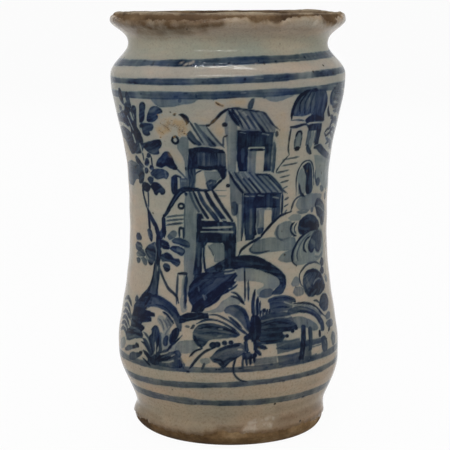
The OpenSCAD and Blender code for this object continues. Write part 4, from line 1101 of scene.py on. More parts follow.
def big_plant(brush):
    """The broad-leaved plant in the middle of the foreground."""
    broad = [-15.7, 56, -14.8, 57.9, -12.5, 59.7, -9.3, 60.5, -5.2, 60.4, -1.5, 59.3, 2.5, 57.4, 5.4, 55.8,
             3.9, 54.5, 0.7, 54.1, -2.9, 53.7, -6.5, 53.3, -8.5, 52.6, -9.4, 51.4, -11.5, 49.5, -13.4, 51,
             -15.3, 53.3]
    brush.fill(broad, 0.8, streak=0.14, pull=-8.0)
    for points, width, tone in (
        ([-15.4, 55, -13.6, 51.6, -11.5, 50], 1.5, DEEP),
        ([-13, 58, -7, 59, 0, 57.6, 5, 55.4], 1.0, DEEP),
        ([-13.4, 55.6, -6, 56.4, 3, 55.2], 0.8, DARK),
        ([-14.2, 60, -10.2, 61.9, -6.1, 62.1, -2.5, 61, 1.2, 59, 4.8, 56.4], 0.9, DARK),
        ([-8.8, 64.3, -5.2, 64.3, -2, 63, 1.6, 61, 5.3, 57.8, 8.9, 55.3], [0.9, 0.9, 0.9, 1.4], DARK),
        ([0.3, 63.6, 3.5, 61, 6, 58.4], 1.2, DARK),
        ([-17, 45, -14.3, 47.8, -11, 49.2], 0.9, DARK),
        ([-17.2, 39.4, -14.3, 43.3, -12, 46, -9.3, 48.3, -6.5, 49.3], 1.1, DARK),
        ([-11.5, 39.4, -10.2, 42.6], 0.9, DARK),
        ([-19.4, 58.6, -17.4, 58.4], 0.8, STRONG),
    ):
        brush.stroke(points, width, tone)
    brush.lift([-4, 58.2, -2.6, 58.1], 0.5, 0.7)
    brush.lift([-4.4, 54.9, -2.8, 55.2], 0.5, 0.5)
    brush.fill([-16.9, 57.6, -16, 59.4, -14.8, 59.4, -15.6, 57.6], DEEP)
    brush.fill([-12, 44.2, -9, 45, -7.6, 43.4, -9.6, 42.2, -11.8, 42.6], 0.3)
    lower = [-7.8, 45.1, -6.2, 46.9, -4.4, 49, -2, 50.4, 1.6, 51.5, 4.8, 51.9, 7.3, 50.5, 7.2, 47.8,
             3.6, 45, 0.7, 43.2, -1.5, 40.9, -3.4, 41.4, -4.6, 42.8, -6.6, 43.3]
    brush.fill(lower, 0.75, streak=0.13, pull=20.0)
    brush.stroke([-6.6, 44.6, -3, 44, -2, 42], 1.0)
    brush.stroke([-4, 48.4, 0, 50.2, 5, 50.8], 1.2)
    brush.lift([4.4, 49, 5.8, 48.9], 0.6, 0.9)
    brush.lift([3.8, 53.4, 5, 53.2], 0.6, 0.8)
    for spot, size in (((-6.5, 50.8), 2.9), ((-4.5, 51.2), 2.4), ((-1.5, 51.9), 2.1), ((1.2, 52.1), 2.0)):
        brush.dab(spot, size, DEEP)
    brush.lift([-8.8, 51.7, -6.8, 53, -3, 53.3, 0.6, 53.7, 3.4, 53.9], 0.55, 0.9)
    shield = [-2, 66.5, -0.6, 68, 2.1, 68.8, 4.8, 68.6, 7.1, 67.4, 8.5, 65.5, 9.4, 62.8, 9.9, 59.6, 9.9, 56,
              8, 57.8, 5.7, 60.6, 3.5, 62.8, 0.7, 64.7, -1.2, 65.2]
    brush.fill(shield, 0.8, streak=0.12, pull=-40.0)
    brush.stroke([6, 67.4, 7.8, 64.6, 9, 60, 9.6, 56.4], 1.8, DEEP)
    brush.lift([1.2, 67.4, 4.4, 66.6], 0.9, 0.18)
    for stem, width in (
        ([7.8, 86, 7.9, 78, 7.8, 70.6], 0.9),
        ([9.5, 80, 9.4, 70], 0.9),
        ([1.6, 74.6, 3.9, 73.8, 6, 71.4, 7.6, 69], 0.9),
        ([1.4, 72.8, 3.9, 72.1, 5.7, 70.8, 7.2, 69], 0.9),
        ([3.7, 46, 2.5, 42.8, 2, 39.6, 2.8, 37, 5, 34.9, 7.4, 34.4], 0.9),
        ([6.4, 46, 6.1, 43, 6.2, 39.6], 0.9),
        ([7.6, 46, 7.9, 41.4], 1.0),
        ([9.4, 46, 9.4, 41.8], 1.1),
        ([11.2, 47.4, 11.2, 43], 1.2),
        ([11.6, 63, 11.4, 67, 11.6, 71, 12.6, 75.4], 1.5),
        ([13.4, 63, 13.4, 68, 13.9, 72], 1.3),
        ([14.4, 63.6, 14.6, 67.4, 15, 70], 0.9),
    ):
        brush.stroke(stem, width, DARK)
    brush.fill([9.9, 62, 11, 63.8, 13.9, 63.6, 15, 60, 14.4, 55, 12, 52.6, 8, 52.2, 7, 54.4, 9.4, 56.6],
               DEEP)
    stack = [13.6, 63, 20, 65, 29, 64, 31, 61, 33, 57, 30, 55.4, 25, 55.4, 26, 53, 24.5, 51, 13, 51]
    brush.fill(stack, 0.68, streak=0.16, rounded=False, pull=0.0)
    brush.fill([19.4, 71, 26, 71.4, 31, 70, 31.4, 65.6, 27, 64.4, 20, 64.4], 0.62, pull=0.0)
    brush.stroke([7.6, 53, 7.8, 50, 8.2, 47.6], 1.7, DEEP)
    brush.stroke([11.3, 53, 11.9, 50.6, 11.5, 47.6], 1.5, DEEP)
    brush.fill([5.8, 47.2, 9, 47.8, 12, 47.2, 11.8, 45.2, 6.4, 44.6], DARK)
    brush.lift([9.3, 52.4, 9.7, 50, 10.4, 47.8], 1.7, 1.0)
    brush.fill([14.4, 72, 15.6, 75, 20, 75.6, 22, 73.6, 20, 71.8, 17, 71.6], 0.55)
    for outline, tone in (
        ([18.9, 70.6, 21.8, 71.7, 26.5, 71.9, 30.6, 71.1, 33.3, 69.8, 33.7, 67.9, 32, 68.3, 29.4, 69,
          26.5, 69.3, 21.8, 69.4, 19, 69.4], 0.84),
        ([19.6, 69, 23.5, 69.2, 27, 68.5, 29.8, 67.2, 30.7, 65.6, 27.6, 65, 21.8, 64.7, 19.9, 66.6], 0.8),
        ([14.8, 63, 20, 64.6, 25.3, 64.6, 29.6, 63.9, 29, 62.6, 24, 62.2, 17, 61.6, 14.6, 61.8], 0.74),
        ([13.8, 60, 18.6, 61.4, 24.1, 61.8, 28.8, 60.6, 32.5, 58.4, 33, 56.5, 30, 55.6, 24.7, 55.9,
          18.8, 56.4, 14, 57.4], 0.78),
        ([13.4, 56.6, 19, 56, 24.7, 54.4, 28, 53.4, 24.8, 52.4, 24.7, 51.2, 20, 50.6, 15.9, 50.9, 12, 51.4,
          12.4, 54.4], 0.77),
    ):
        brush.fill(outline, tone, streak=0.14, pull=0.0)
    for vein in (
        [15, 59, 22, 60.2, 30, 58.4],
        [15, 57.4, 22, 57.6, 31, 56.6],
        [14, 54.8, 20, 54.6, 26, 53.6],
        [13.6, 52.2, 19, 52, 24, 52],
        [20.4, 70.6, 27, 70.8, 32.6, 69.2],
        [20.6, 66.4, 25, 66.8, 30, 66],
    ):
        brush.stroke(vein, 0.8, 0.92)
    brush.stroke([11.8, 50.6, 14.4, 49.8, 17, 48.8], [2.0, 2.2, 1.4])
    brush.stroke([11.4, 48.8, 12.8, 47.6, 14.2, 45.8], [1.6, 1.8, 1.2])
    brush.lift([15, 61.2, 22, 62, 28.6, 61.8], 0.5, 0.4)
    brush.lift([27.2, 68.8, 30.4, 67.5, 33.4, 66.7], 0.6, 0.8)
    brush.lift([25.4, 54.9, 28.8, 54.6], 0.8, 0.8)
    for spot, size in (((27.2, 53.4), 1.7), ((30.3, 55.4), 1.8), ((32.4, 56.3), 1.8), ((16.6, 65.8), 1.7)):
        brush.dab(spot, size, DEEP)
    for spike in ([14.4, 63, 15.2, 66], [15.8, 63.6, 16.6, 66.4], [17.4, 64, 18.4, 66.2],
                  [19, 64.4, 19.6, 66.4]):
        brush.stroke(spike, 1.0, DARK)
    brush.fill([11, 44.4, 16, 44.6, 20.6, 44, 20.4, 42.2, 11, 42.4], 0.33)


def ruin(brush):
    """The round bush, posts and planks at the right foot of the panel."""
    brush.fill([24, 61.8, 30, 61.4, 35.3, 61.4, 40.6, 59.4, 45.3, 56.8, 47.2, 54, 43, 53.6, 38, 56,
                32, 56.4], 0.42)
    brush.fill([21.4, 50.6, 25, 51.8, 29, 51.6, 34, 51.6, 34, 47, 27.6, 46.4, 21.8, 46], 0.64,
               rounded=False, pull=8.0)
    brush.fill([34, 50, 40, 50, 40.4, 40.6, 34, 40.6], 0.5, rounded=False)
    brush.fill([11, 44.6, 16, 45, 21.4, 45, 21.4, 40.6, 11, 40.6], 0.36, rounded=False)
    band = [28.4, 65.2, 34.7, 66.1, 40, 64.9, 44.1, 63.2, 47.6, 61.1, 50.6, 58.4, 52.4, 56, 52.2, 52.6,
            49, 52.4, 49.2, 54.4, 48, 56.2, 46.5, 58.4, 43.5, 60.6, 40, 62, 35.3, 63, 28.6, 63]
    brush.fill([31, 66.6, 36, 66.8, 41, 65.8, 45, 64.2, 49, 61.6, 51, 59.4, 48, 60, 44, 62.6, 38, 64.4],
               0.36)
    brush.fill(band, 0.68, streak=0.16, pull=-20.0)
    brush.stroke([34, 63.8, 40, 62.8, 44, 61.2, 47.4, 58.6, 49.6, 55.6], 1.3, 0.8)
    brush.lift([33, 64.8, 38, 64.4, 43, 62.8], 0.5, 0.35)
    brush.fill([49, 56, 52.2, 56, 52.2, 52.6, 49.2, 52.4], 0.84)
    brush.stroke([32, 67.3, 37, 67.2, 41.8, 66.3, 45.9, 64.8, 48.8, 62.8, 51.4, 60.4, 55, 58],
                 [0.8, 1.0, 1.0, 1.0, 0.7], 0.82)
    brush.lift([27, 62, 31.8, 62, 36.5, 61.4, 40.6, 60, 44.1, 58.4], 0.6, 0.75)
    brush.stroke([46, 67, 49, 66.4, 51, 65], 0.9, STRONG)
    brush.fill([50.2, 64.2, 52.4, 67.3, 55.9, 68.7, 60.4, 67.4, 61.6, 64.2, 58.6, 61.1, 54.7, 60.5,
                52.2, 62], 0.82, pull=20.0)
    brush.stroke([51.6, 64.4, 56, 64.2, 60.6, 65.2], 1.2)
    brush.fill([54.6, 58.4, 58, 59.6, 61.6, 58.6, 60, 56.6, 56, 56.6], 0.56)
    brush.fill([54.2, 55, 58, 56, 63.6, 54.8, 63, 52.6, 57, 52.4], 0.7)
    brush.stroke([56, 51.2, 58.6, 52], 1.3)
    brush.fill([57.8, 47.4, 61, 49.8, 64.6, 48, 63.4, 44, 59.6, 43.6], 0.58)
    brush.fill([46.8, 51.2, 47.4, 53, 48.7, 52.8, 48.4, 50.2, 47, 50], DEEP)
    brush.fill([35.2, 57, 36.6, 57.6, 38.2, 56.6, 37.6, 51, 36.6, 47, 35.9, 44, 35.4, 41.4, 32.8, 41.6,
                33, 45, 34.2, 50, 35.2, 54], 0.82, rounded=False)
    brush.fill([39.7, 55.4, 41, 56, 42.5, 55, 41.9, 50, 40.8, 45.2, 38.5, 45, 39.3, 50], 0.76,
               rounded=False)
    brush.stroke([21.6, 48.5, 29, 48.6, 36, 48.6, 44, 48.4, 53.6, 48], [2.8, 2.9, 2.8, 2.4, 1.8],
                 [0.72, 0.7, 0.6])
    brush.fill([21.8, 44.8, 26, 45, 33.4, 45.6, 33.8, 42.6, 33.4, 40.4, 22.2, 40.4], 0.64, rounded=False,
               pull=8.0)
    brush.lift([22.4, 45.5, 27.6, 46, 33, 46.8], 0.55, 0.9)
    brush.fill([36, 43, 40, 42.8, 44, 43, 43.6, 40.8, 36, 40.8], 0.48, rounded=False)
    brush.stroke([40.6, 46.4, 48, 46.4], 0.7, MID)
    brush.fill([48, 49.4, 51.6, 49.6, 53.6, 47, 53.2, 43, 50, 42.4, 48.4, 44.6], 0.74)
    brush.lift([51.4, 47.6, 52.2, 46], 0.8, 0.4)
    brush.fill([47.6, 42.8, 56, 43, 66, 42.6, 66, 40, 47.6, 40], 0.36, rounded=False)
    brush.dab((33.5, 42.6), 1.9, DEEP)


def front_scene(canvas):
    brush = Brush(canvas)
    clouds(brush)
    bushes(brush)
    foreground(brush)
    upper_left_house(brush)
    upper_right_house(brush)
    middle_house(brush)
    lower_left_house(brush)
    tower(brush)
    scroll_leaves(brush)
    tree(brush)
    small_plant(brush)
    big_plant(brush)
    ruin(brush)


def back_scene(canvas):
    """The far side: the same hand, trees, a tower and bushes, further apart."""
    clouds(Brush(canvas, (118, 0)))
    clouds(Brush(canvas, (190, 0)))
    tower(Brush(canvas, (152, -4), 0.97))
    scroll_leaves(Brush(canvas, (152, -4), 0.97))
    bushes(Brush(canvas, (150, -3), 1.0))
    hut = Brush(canvas, (146, -10), 0.95)
    hut.fill([-14, 127.6, 2, 129, 20, 128, 32, 125.6, 26, 122, 6, 121.4, -8, 123], 0.36)
    hut.stroke([-15, 126.6, -4, 128.4, 6, 128], 0.9, DARK)
    hut.stroke([18, 126, 26, 124.6, 34, 120.6], 0.9, DARK)
    upper_right_house(hut)
    tree(Brush(canvas, (78, -2), 0.99, mirror=True))
    bushes(Brush(canvas, (158, -3), 1.0, mirror=True))
    foreground(Brush(canvas, (148, 0)))
    small_plant(Brush(canvas, (182, 0)))
    big_plant(Brush(canvas, (166, 0), 1.0, mirror=True))
    small_plant(Brush(canvas, (60, 0), 1.0, mirror=True))
    ruin(Brush(canvas, (172, 0)))


def dirt_and_wear(canvas):
    """Rust marks, brown soil rubbed in at the lip and foot, and spots where the glaze has chipped."""
    brush = Brush(canvas)
    draw = np.random.default_rng(41)
    # Speckles in the rust patch over the left house
    for _ in range(90):
        along = draw.uniform(-1.0, 1.0)
        x = -25.4 + 6.4 * along
        z = 149.6 - 1.6 * along + 1.7 * draw.normal()
        length = draw.uniform(0.1, 1.1)
        brush.smear(canvas.stain, [x, z, x + length, z - 0.5 * length], 0.5, draw.uniform(0.7, 1.0), 0.6)
    for x, z in (
        (-24.8, 152.2), (-23.2, 155.2), (-22.6, 155.4), (-20.2, 148),
        (-19.4, 146.6), (-32, 144.2), (-24.4, 144.9),
    ):
        brush.smear(canvas.stain, [x - 0.3, z, x + 0.3, z + 0.1], 0.7, 1.0, 0.6)
    for points, width, amount, soft in (
        # The patch's tint and scratches
        ([-31, 148, -26, 150.6, -20, 150], 6.0, 0.6, 3.0),
        ([-29, 149.6, -24, 150, -21, 147.6], 2.6, 0.75, 2.4),
        ([-27.4, 151.4, -25, 150, -22, 148.6, -20, 147.2], 0.5, 1.0, 0.5),
        ([-31, 150.8, -28.6, 149.6, -26, 147.4], 0.5, 1.0, 0.5),
        ([-32.4, 147.6, -29.8, 146.2], 0.5, 1.0, 0.5),
        # The dark drip under the top line
        ([-4, 160.2, -3, 159.5, -2.2, 159.4], 1.3, 0.95, 0.7),
        ([-4.8, 160.7, -4.2, 160.2, -3.4, 159.8], 1.2, 1.0, 0.6),
        # Warmer glaze between the houses and the tower, and a spot at the bottom
        ([-6, 152, -3, 147], 4.0, 0.3, 3.0),
        ([1, 161, 6, 161], 3.0, 0.34, 3.0),
        ([23, 154, 26, 142], 5.0, 0.22, 3.0),
        ([-27, 137, -23, 135], 3.0, 0.34, 3.0),
        ([-12, 155, -9, 153], 3.0, 0.2, 3.0),
        ([2, 161.6, 5, 161.4], 1.0, 0.4, 1.6),
        ([-20, 43, -17, 44], 2.0, 0.5, 2.0),
    ):
        brush.smear(canvas.stain, points, width, amount, soft)
    for points, width, amount, soft in (
        # Soil under the lip, mostly at the left
        ([-62, 195.6, -50, 195, -38, 194.4, -26, 194.6, -10, 195.6, -3, 196.4], 4.6, 1.0, 3.0),
        ([-58, 193, -38, 191.8, -26, 192, -10, 193.4], 4.2, 0.7, 3.0),
        ([-52, 189.6, -36, 188.6, -22, 189.8], 2.0, 0.36, 3.4),
        ([-42, 196.4, -28, 196.2, -12, 196.8], 2.0, 0.75, 1.8),
        ([-58, 198, -30, 198.2, -6, 198.6, 6, 198.8], 2.6, 0.95, 1.8),
        ([-2, 194, 8, 193.4, 22, 193], 1.4, 0.2, 3.0),
        ([9.6, 197, 12, 196.4, 14.8, 196.8], 2.6, 1.0, 1.4),
        ([17.4, 197, 19.4, 196.2, 21.4, 196.6], 2.0, 0.95, 1.4),
        ([28, 193.4, 44, 192], 1.0, 0.15, 2.6),
        ([44.6, 197, 49, 196.4, 54, 196], 3.2, 0.95, 1.6),
        ([84, 194, 104, 193, 128, 194.4, 150, 193.6], 2.4, 0.7, 3.4),
        ([-84, 194, -110, 193, -134, 194.6], 2.2, 0.6, 3.4),
        # Soil over the foot, heavier at the right
        ([-70, 8.6, -44, 7, -20, 6.4, 0, 7.6, 20, 7, 44, 8, 72, 9, 100, 8, 130, 7.2, 157, 7], 2.2, 0.65,
         2.8),
        ([-157, 7, -120, 7.6, -90, 8, -70, 8.6], 2.2, 0.65, 2.8),
        ([24, 12.2, 40, 13.4, 62, 14, 76, 13], 4.4, 0.6, 4.0),
        ([24, 19, 44, 20, 60, 22, 72, 22], 3.0, 0.4, 5.0),
        ([34, 29, 52, 30, 64, 31], 2.0, 0.22, 5.0),
        ([-6, 10.6, 6, 10.6], 2.0, 0.5, 2.6),
        ([-66, 13, -52, 12, -40, 10.6], 1.6, 0.45, 2.6),
        ([92, 13, 116, 12.6, 140, 13], 2.0, 0.4, 4.0),
    ):
        brush.smear(canvas.soil, points, width, amount, soft)
    # Chips above the foot, and small ones on the neck and lip
    for x, z, width, reach in (
        (13, 13.4, 2.4, 3.0), (17, 11.4, 3.0, 3.6), (10, 10, 2.4, 2.6),
        (8, 8, 1.4, 1.2), (20.4, 14.6, 1.6, 2.0),
    ):
        brush.smear(canvas.chipped, [x - reach, z - 0.8, x, z, x + reach, z - 0.6], width, 0.6, 2.2)
    for x, z, size in (
        (-16, 177.4, 1.2), (-18.4, 176.6, 0.8), (-20.6, 177.2, 0.7), (41, 168.6, 0.7), (12, 177, 0.5),
        (39, 195.6, 1.6), (-61, 196, 1.4),
    ):
        brush.smear(canvas.chipped, [x - 0.6, z - 0.3, x + 0.6, z + 0.3], size, 0.5, 1.0)


# Meshes


def revolved(name, rows, columns, capped):
    """A closed mesh from rows of points round the jar. The last row meets the first, or both are capped."""
    points = np.concatenate(rows)
    count = len(rows)
    grid = np.arange(count * columns).reshape(count, columns)
    below = grid[:-1] if capped else grid
    above = grid[1:] if capped else np.roll(grid, -1, axis=0)
    quads = np.stack([below, np.roll(below, -1, 1), np.roll(above, -1, 1), above], axis=-1).reshape(-1, 4)
    fans = np.empty((0, 3), int)
    if capped:
        hubs = np.stack([rows[0].mean(axis=0), rows[-1].mean(axis=0)])
        first_hub = len(points)
        points = np.concatenate([points, hubs])
        start = np.stack([np.roll(grid[0], -1), grid[0], np.full(columns, first_hub)], axis=-1)
        end = np.stack([grid[-1], np.roll(grid[-1], -1), np.full(columns, first_hub + 1)], axis=-1)
        fans = np.concatenate([start, end])
    mesh = bpy.data.meshes.new(name)
    corners = np.concatenate([quads.ravel(), fans.ravel()])
    starts = np.concatenate([np.arange(len(quads)) * 4, quads.size + np.arange(len(fans)) * 3])
    mesh.vertices.add(len(points))
    mesh.vertices.foreach_set("co", points.astype(np.float32).ravel())
    mesh.loops.add(len(corners))
    mesh.loops.foreach_set("vertex_index", corners.astype(np.int32))
    mesh.polygons.add(len(starts))
    mesh.polygons.foreach_set("loop_start", starts.astype(np.int32))
    mesh.polygons.foreach_set("use_smooth", np.ones(len(starts), dtype=bool))
    mesh.update(calc_edges=True)
    mesh.validate()
    piece = bpy.data.objects.new(name, mesh)
    bpy.context.scene.collection.objects.link(piece)
    return piece


def wrap_map(piece, columns, count):
    """A map that wraps the jar once round, so that the painting bakes evenly."""
    layer = piece.data.uv_layers.new(name="OFBake")
    corners = np.empty(len(piece.data.loops), dtype=np.int32)
    piece.data.loops.foreach_get("vertex_index", corners)
    column = corners % columns
    row = corners // columns
    column = column.reshape(-1, 4)
    row = row.reshape(-1, 4)
    wraps = column.max(axis=1) - column.min(axis=1) > 1
    column = column + np.where(wraps[:, None] & (column == 0), columns, 0)
    closes = row.max(axis=1) - row.min(axis=1) > 1
    row = row + np.where(closes[:, None] & (row == 0), count, 0)
    places = np.stack([column / columns, row / count], axis=-1)
    layer.data.foreach_set("uv", places.astype(np.float32).ravel())


def store(piece, name, values):
    attribute = piece.data.attributes.new(name, "FLOAT", "POINT")
    attribute.data.foreach_set("value", values.astype(np.float32).ravel())


def round_the_jar(angle, places):
    """A closed line through a few places, each an angle in degrees and a height."""
    degrees, heights = zip(*places)
    return np.interp(np.degrees(angle), degrees, heights, period=360.0)


def glaze_foot_edge(angle):
    """Height of the glaze's lower edge round the foot, where it ran unevenly."""
    places = ((-80, 7.6), (-53, 8.0), (-37, 6.6), (-14, 6.8), (-3, 8.8), (20, 7.4), (45, 8.2), (80, 7.2),
              (130, 8), (180, 6.8), (230, 7.8))
    return round_the_jar(angle, places) + 0.5 * ripple(angle, 3, 90, 0.4)


def glaze_lip_edge(angle):
    """Height of the glaze's upper edge, worn off the lip except in a few places."""
    places = (
        (-100, 198.0), (-84, 198.8), (-74, 198.0), (-65, 196.2), (-45, 196.0), (-20, 196.6), (-7, 196.8),
        (-2, 197.4), (8, 197.4), (10.5, 196.8), (12.5, 195.8), (16, 195.9), (18.4, 197.2), (20.4, 196.2),
        (24, 196.3), (27, 197.4), (33, 198.2), (39, 198.6), (47, 199.0), (50, 198.2), (52, 195.6),
        (60, 195.2), (63.5, 197.6), (75, 198.6), (86, 199.0),
        (110, 196.6), (140, 198.4), (165, 196.0), (200, 197.8), (230, 195.8), (250, 198.6),
    )
    return round_the_jar(angle, places) + 0.5 * ripple(angle, 5, 90, 0.3)


def skin_point(angle, height, thickness):
    """A point on the jar's outer face, raised by a thickness square to it."""
    slope = (clay_radius(height + 0.05) - clay_radius(height - 0.05)) / 0.1
    lengthen = 1.0 / np.sqrt(1.0 + slope * slope)
    return place(angle, height - thickness * slope * lengthen, clay_radius(height) + thickness * lengthen)


def outer_glaze(canvas):
    """The glaze's shell, thin towards its worn edges, with the canvas's layers stored on it."""
    angle = angles(GLAZE_COLUMNS)
    low = glaze_foot_edge(angle)
    high = glaze_lip_edge(angle)
    flat = np.zeros_like(angle)
    rows = []
    bare = np.zeros_like(canvas.cobalt)
    for k, level in enumerate(canvas.heights):
        height = level + flat
        bare[k] = np.maximum(low - height, height - high)
        thin = smoothstep(-bare[k] / 1.4)
        rows.append(skin_point(angle, height, THINNEST_GLAZE + (GLAZE_THICKNESS - THINNEST_GLAZE) * thin))
    # The back of the shell, just inside the clay
    for level in np.linspace(canvas.heights[-1], canvas.heights[0], HIDDEN_ROWS):
        rows.append(skin_point(angle, level + flat, -HIDDEN_DEPTH))
    piece = revolved("outer_glaze_skin", rows, GLAZE_COLUMNS, capped=False)
    wrap_map(piece, GLAZE_COLUMNS, len(rows))
    hidden = np.zeros((HIDDEN_ROWS, GLAZE_COLUMNS))
    for name, layer in (
        ("cobalt", canvas.cobalt),
        ("outline", canvas.outline),
        ("stain", canvas.stain),
        ("soil", canvas.soil),
        ("chipped", canvas.chipped),
        ("bare", bare),
    ):
        store(piece, name, np.concatenate([layer, hidden]))
    return piece


def clay_pot():
    """The bare pot, from the middle of its resting face up over the chipped lip to the floor inside."""
    angle = angles(CLAY_COLUMNS)
    lip_drop = JAR_HEIGHT - GLAZE_STOP - 0.4
    lip = JAR_HEIGHT - lip_drop
    crest = clay_radius(lip) - WALL / 2.0
    rest_radius = clay_radii[0]
    outline = [(radius, 0.0) for radius in np.linspace(1.0, rest_radius - 0.6, 16)]
    for stretch in (
        7.0 * np.linspace(0.0, 1.0, 24) ** 2,
        np.linspace(7.4, 14.0, 22),
        np.linspace(16.0, 190.0, 60),
        np.linspace(190.6, lip - 0.3, 14),
    ):
        outline += [(clay_radius(z), z) for z in stretch]
    for turn in np.linspace(0.0, math.pi, 36):
        outline.append((crest + WALL / 2.0 * math.cos(turn), lip + lip_drop * math.sin(turn)))
    outline += [(clay_radius(z) - WALL, z) for z in np.linspace(lip - 0.4, INSIDE_STOP - 4.0, 12)]
    outline += [(clay_radius(z) - WALL, z) for z in np.linspace(INSIDE_STOP - 7.0, FLOOR + 12.0, 60)]
    outline += [(radius, FLOOR) for radius in (30.0, 15.0, 1.0)]
    rows = []
    for radius, height in outline:
        chip = lip_chips(angle, radius, height, crest)
        inward = chip * 0.5 * np.sign(radius - crest)
        rows.append(place(angle, height - chip * 0.8, radius - inward))
    return revolved("clay_pot", rows, CLAY_COLUMNS, capped=True)


def lip_chips(angle, radius, height, crest):
    """Small bites out of the worn lip, in millimetres."""
    if height < CHIPPED_FROM:
        return np.zeros_like(angle)
    draw = np.random.default_rng(17)
    depth = np.zeros_like(angle)
    for _ in range(46):
        centre = draw.uniform(-math.pi, math.pi)
        size = draw.uniform(0.008, 0.05)
        side = draw.choice([-1.0, 1.0])
        bite = draw.uniform(0.15, 0.75)
        near = math.exp(-(((radius - crest - side * 2.0) / 1.6) ** 2))
        depth = np.maximum(depth, bite * near * np.exp(-(((angle - centre) / size) ** 2)))
    return depth + 0.07 * (1.0 + ripple(angle, 23, 60, 0.3)) * smoothstep((height - CHIPPED_FROM) / 3.0)


def inner_glaze():
    """The lining: floor, rounded corner and wall up to its uneven edge, and back down behind."""
    angle = angles(INSIDE_COLUMNS)
    flat = np.zeros_like(angle)
    edge = INSIDE_STOP + 1.0 + 0.8 * ripple(angle, 29, 30, 0.7)
    corner = FLOOR_CORNER
    top = FLOOR + GLAZE_THICKNESS + corner
    face = clay_radius(top) - WALL - GLAZE_THICKNESS
    rows = [place(angle, FLOOR + GLAZE_THICKNESS + flat, radius + flat) for radius in (1.0, 10.0, 20.0)]
    for turn in np.linspace(0.0, math.pi / 2.0, 12):
        radius = face - corner + corner * math.sin(turn)
        rows.append(place(angle, top - corner * math.cos(turn) + flat, radius + flat))
    for share in np.linspace(0.01, 1.0, 100):
        height = top + (edge - top) * share
        thin = smoothstep((edge - height) / 1.5)
        rows.append(place(angle, height, clay_radius(height) - WALL - GLAZE_THICKNESS * (0.2 + 0.8 * thin)))
    for share in np.linspace(1.0, 0.0, 20):
        height = top + (edge - top) * share
        rows.append(place(angle, height, clay_radius(height) - WALL + 0.15))
    rows.append(place(angle, FLOOR - 0.1 + flat, face - corner + flat))
    rows.append(place(angle, FLOOR - 0.1 + flat, 1.0 + flat))
    return revolved("inner_glaze_skin", rows, INSIDE_COLUMNS, capped=True)


# Materials

# The cobalt's filter over the glaze, from bare glaze to the thickest paint
COBALT_FILTER = (
    (0.0, (1.0, 1.0, 1.0)),
    (0.2, (0.59, 0.71, 0.81)),
    (0.34, (0.412, 0.532, 0.672)),
    (0.52, (0.213, 0.3, 0.438)),
    (0.72, (0.1, 0.166, 0.31)),
    (0.88, (0.038, 0.082, 0.21)),
    (1.0, (0.015, 0.027, 0.09)),
)

# The bare glaze by height up the jar: warm and darker at the foot, cooler at the neck, painted shade at the
# lip
GLAZE_AND_SHADE_BY_HEIGHT = (
    (0.03, srgb(124, 107, 89)),
    (0.10, srgb(140, 126, 107)),
    (0.24, srgb(142, 130, 114)),
    (0.50, srgb(139, 131, 117)),
    (0.84, srgb(138, 132, 121)),
    (0.875, srgb(140, 132, 121)),
    (0.91, srgb(136, 134, 121)),
    (0.935, srgb(135, 133, 119)),
    (0.955, srgb(147, 138, 124)),
    # Painted shade: the lip's glaze is darkened where its crest faces up into the light
    (0.985, srgb(136, 126, 111)),
)

# The glaze's clouds, wipe marks, patches and speckles, each as a tint by its noise
CLOUDED = (
    (0.34, (0.86, 0.91, 0.94)),
    (0.45, (0.96, 0.985, 1.0)),
    (0.55, (1.03, 1.01, 1.0)),
    (0.66, (1.09, 1.01, 0.96)),
)
WIPED = ((0.34, (0.95, 0.955, 0.96)), (0.66, (1.05, 1.045, 1.035)))
PATCHED = ((0.46, (0.955, 0.985, 0.98)), (0.51, (1.0, 1.0, 1.0)), (0.56, (1.035, 1.0, 0.98)))
SPECKLED = ((0.36, (0.8, 0.78, 0.74)), (0.47, (1.0, 1.0, 1.0)), (0.62, (1.06, 1.06, 1.06)))

# The cobalt's change of hue, from greenish to violet
COBALT_HUES = ((0.38, (1.0, 1.03, 0.92)), (0.5, (0.97, 1.0, 1.04)), (0.62, (0.88, 0.97, 1.26)))

# The inner glaze and the clay by their clouds, and the rust by its strength
INNER_GLAZE = ((0.3, srgb(132, 120, 100)), (0.5, srgb(160, 150, 132)), (0.7, srgb(168, 152, 130)))
CLAY = (
    (0.36, srgb(54, 40, 27)),
    (0.46, srgb(74, 57, 39)),
    (0.56, srgb(92, 73, 51)),
    (0.70, srgb(116, 97, 74)),
)
RUST = (
    (0.0, srgb(108, 84, 56)),
    (0.15, srgb(148, 124, 84)),
    (0.6, srgb(136, 108, 66)),
    (0.8, srgb(98, 76, 50)),
    (1.0, srgb(56, 41, 30)),
)

# Single colours of dirt and wear, and the painted highlight on the lip's crest
SOIL = srgb(80, 63, 45)
LIP_SOIL = srgb(78, 61, 44)
CHIP = srgb(166, 157, 143)
PINHOLE = srgb(44, 40, 37)
INNER_PINHOLE = srgb(66, 50, 38)
RUBBED_CLAY_AND_HIGHLIGHT = srgb(140, 129, 112)

# How fine each pattern is, as the scale of its noise
OUTER_CLOUDS = 30.0
INNER_CLOUDS = 28.0
PINHOLES = 210.0
PINHOLE_AREAS = 150.0
GLAZE_PEEL = 420.0
GLAZE_WAVES = 95.0
WIPE_MARKS = 90.0
PATCHES = 16.0
SPECKLES = 1000.0
BRUSH_GRAIN = 300.0
HUE_AREAS = 55.0
DIRT_GRAIN = 190.0
SOIL_AREAS = 80.0
WORN_EDGE = 330.0
CLAY_CLOUDS = 70.0
CLAY_GRIT = 800.0

# Relief of each surface: its depth in metres and its strength
GLAZE_RELIEF = (0.0004, 0.55)
INNER_RELIEF = (0.0004, 0.5)
CLAY_RELIEF = (0.0006, 0.7)


def material(name):
    made = bpy.data.materials.new(name)
    made.use_nodes = True
    made.node_tree.nodes.clear()
    return made, made.node_tree


def add(shading, kind, **settings):
    node = shading.nodes.new(kind)
    for key, value in settings.items():
        setattr(node, key, value)
    return node


def link(shading, source, target):
    shading.links.new(source, target)


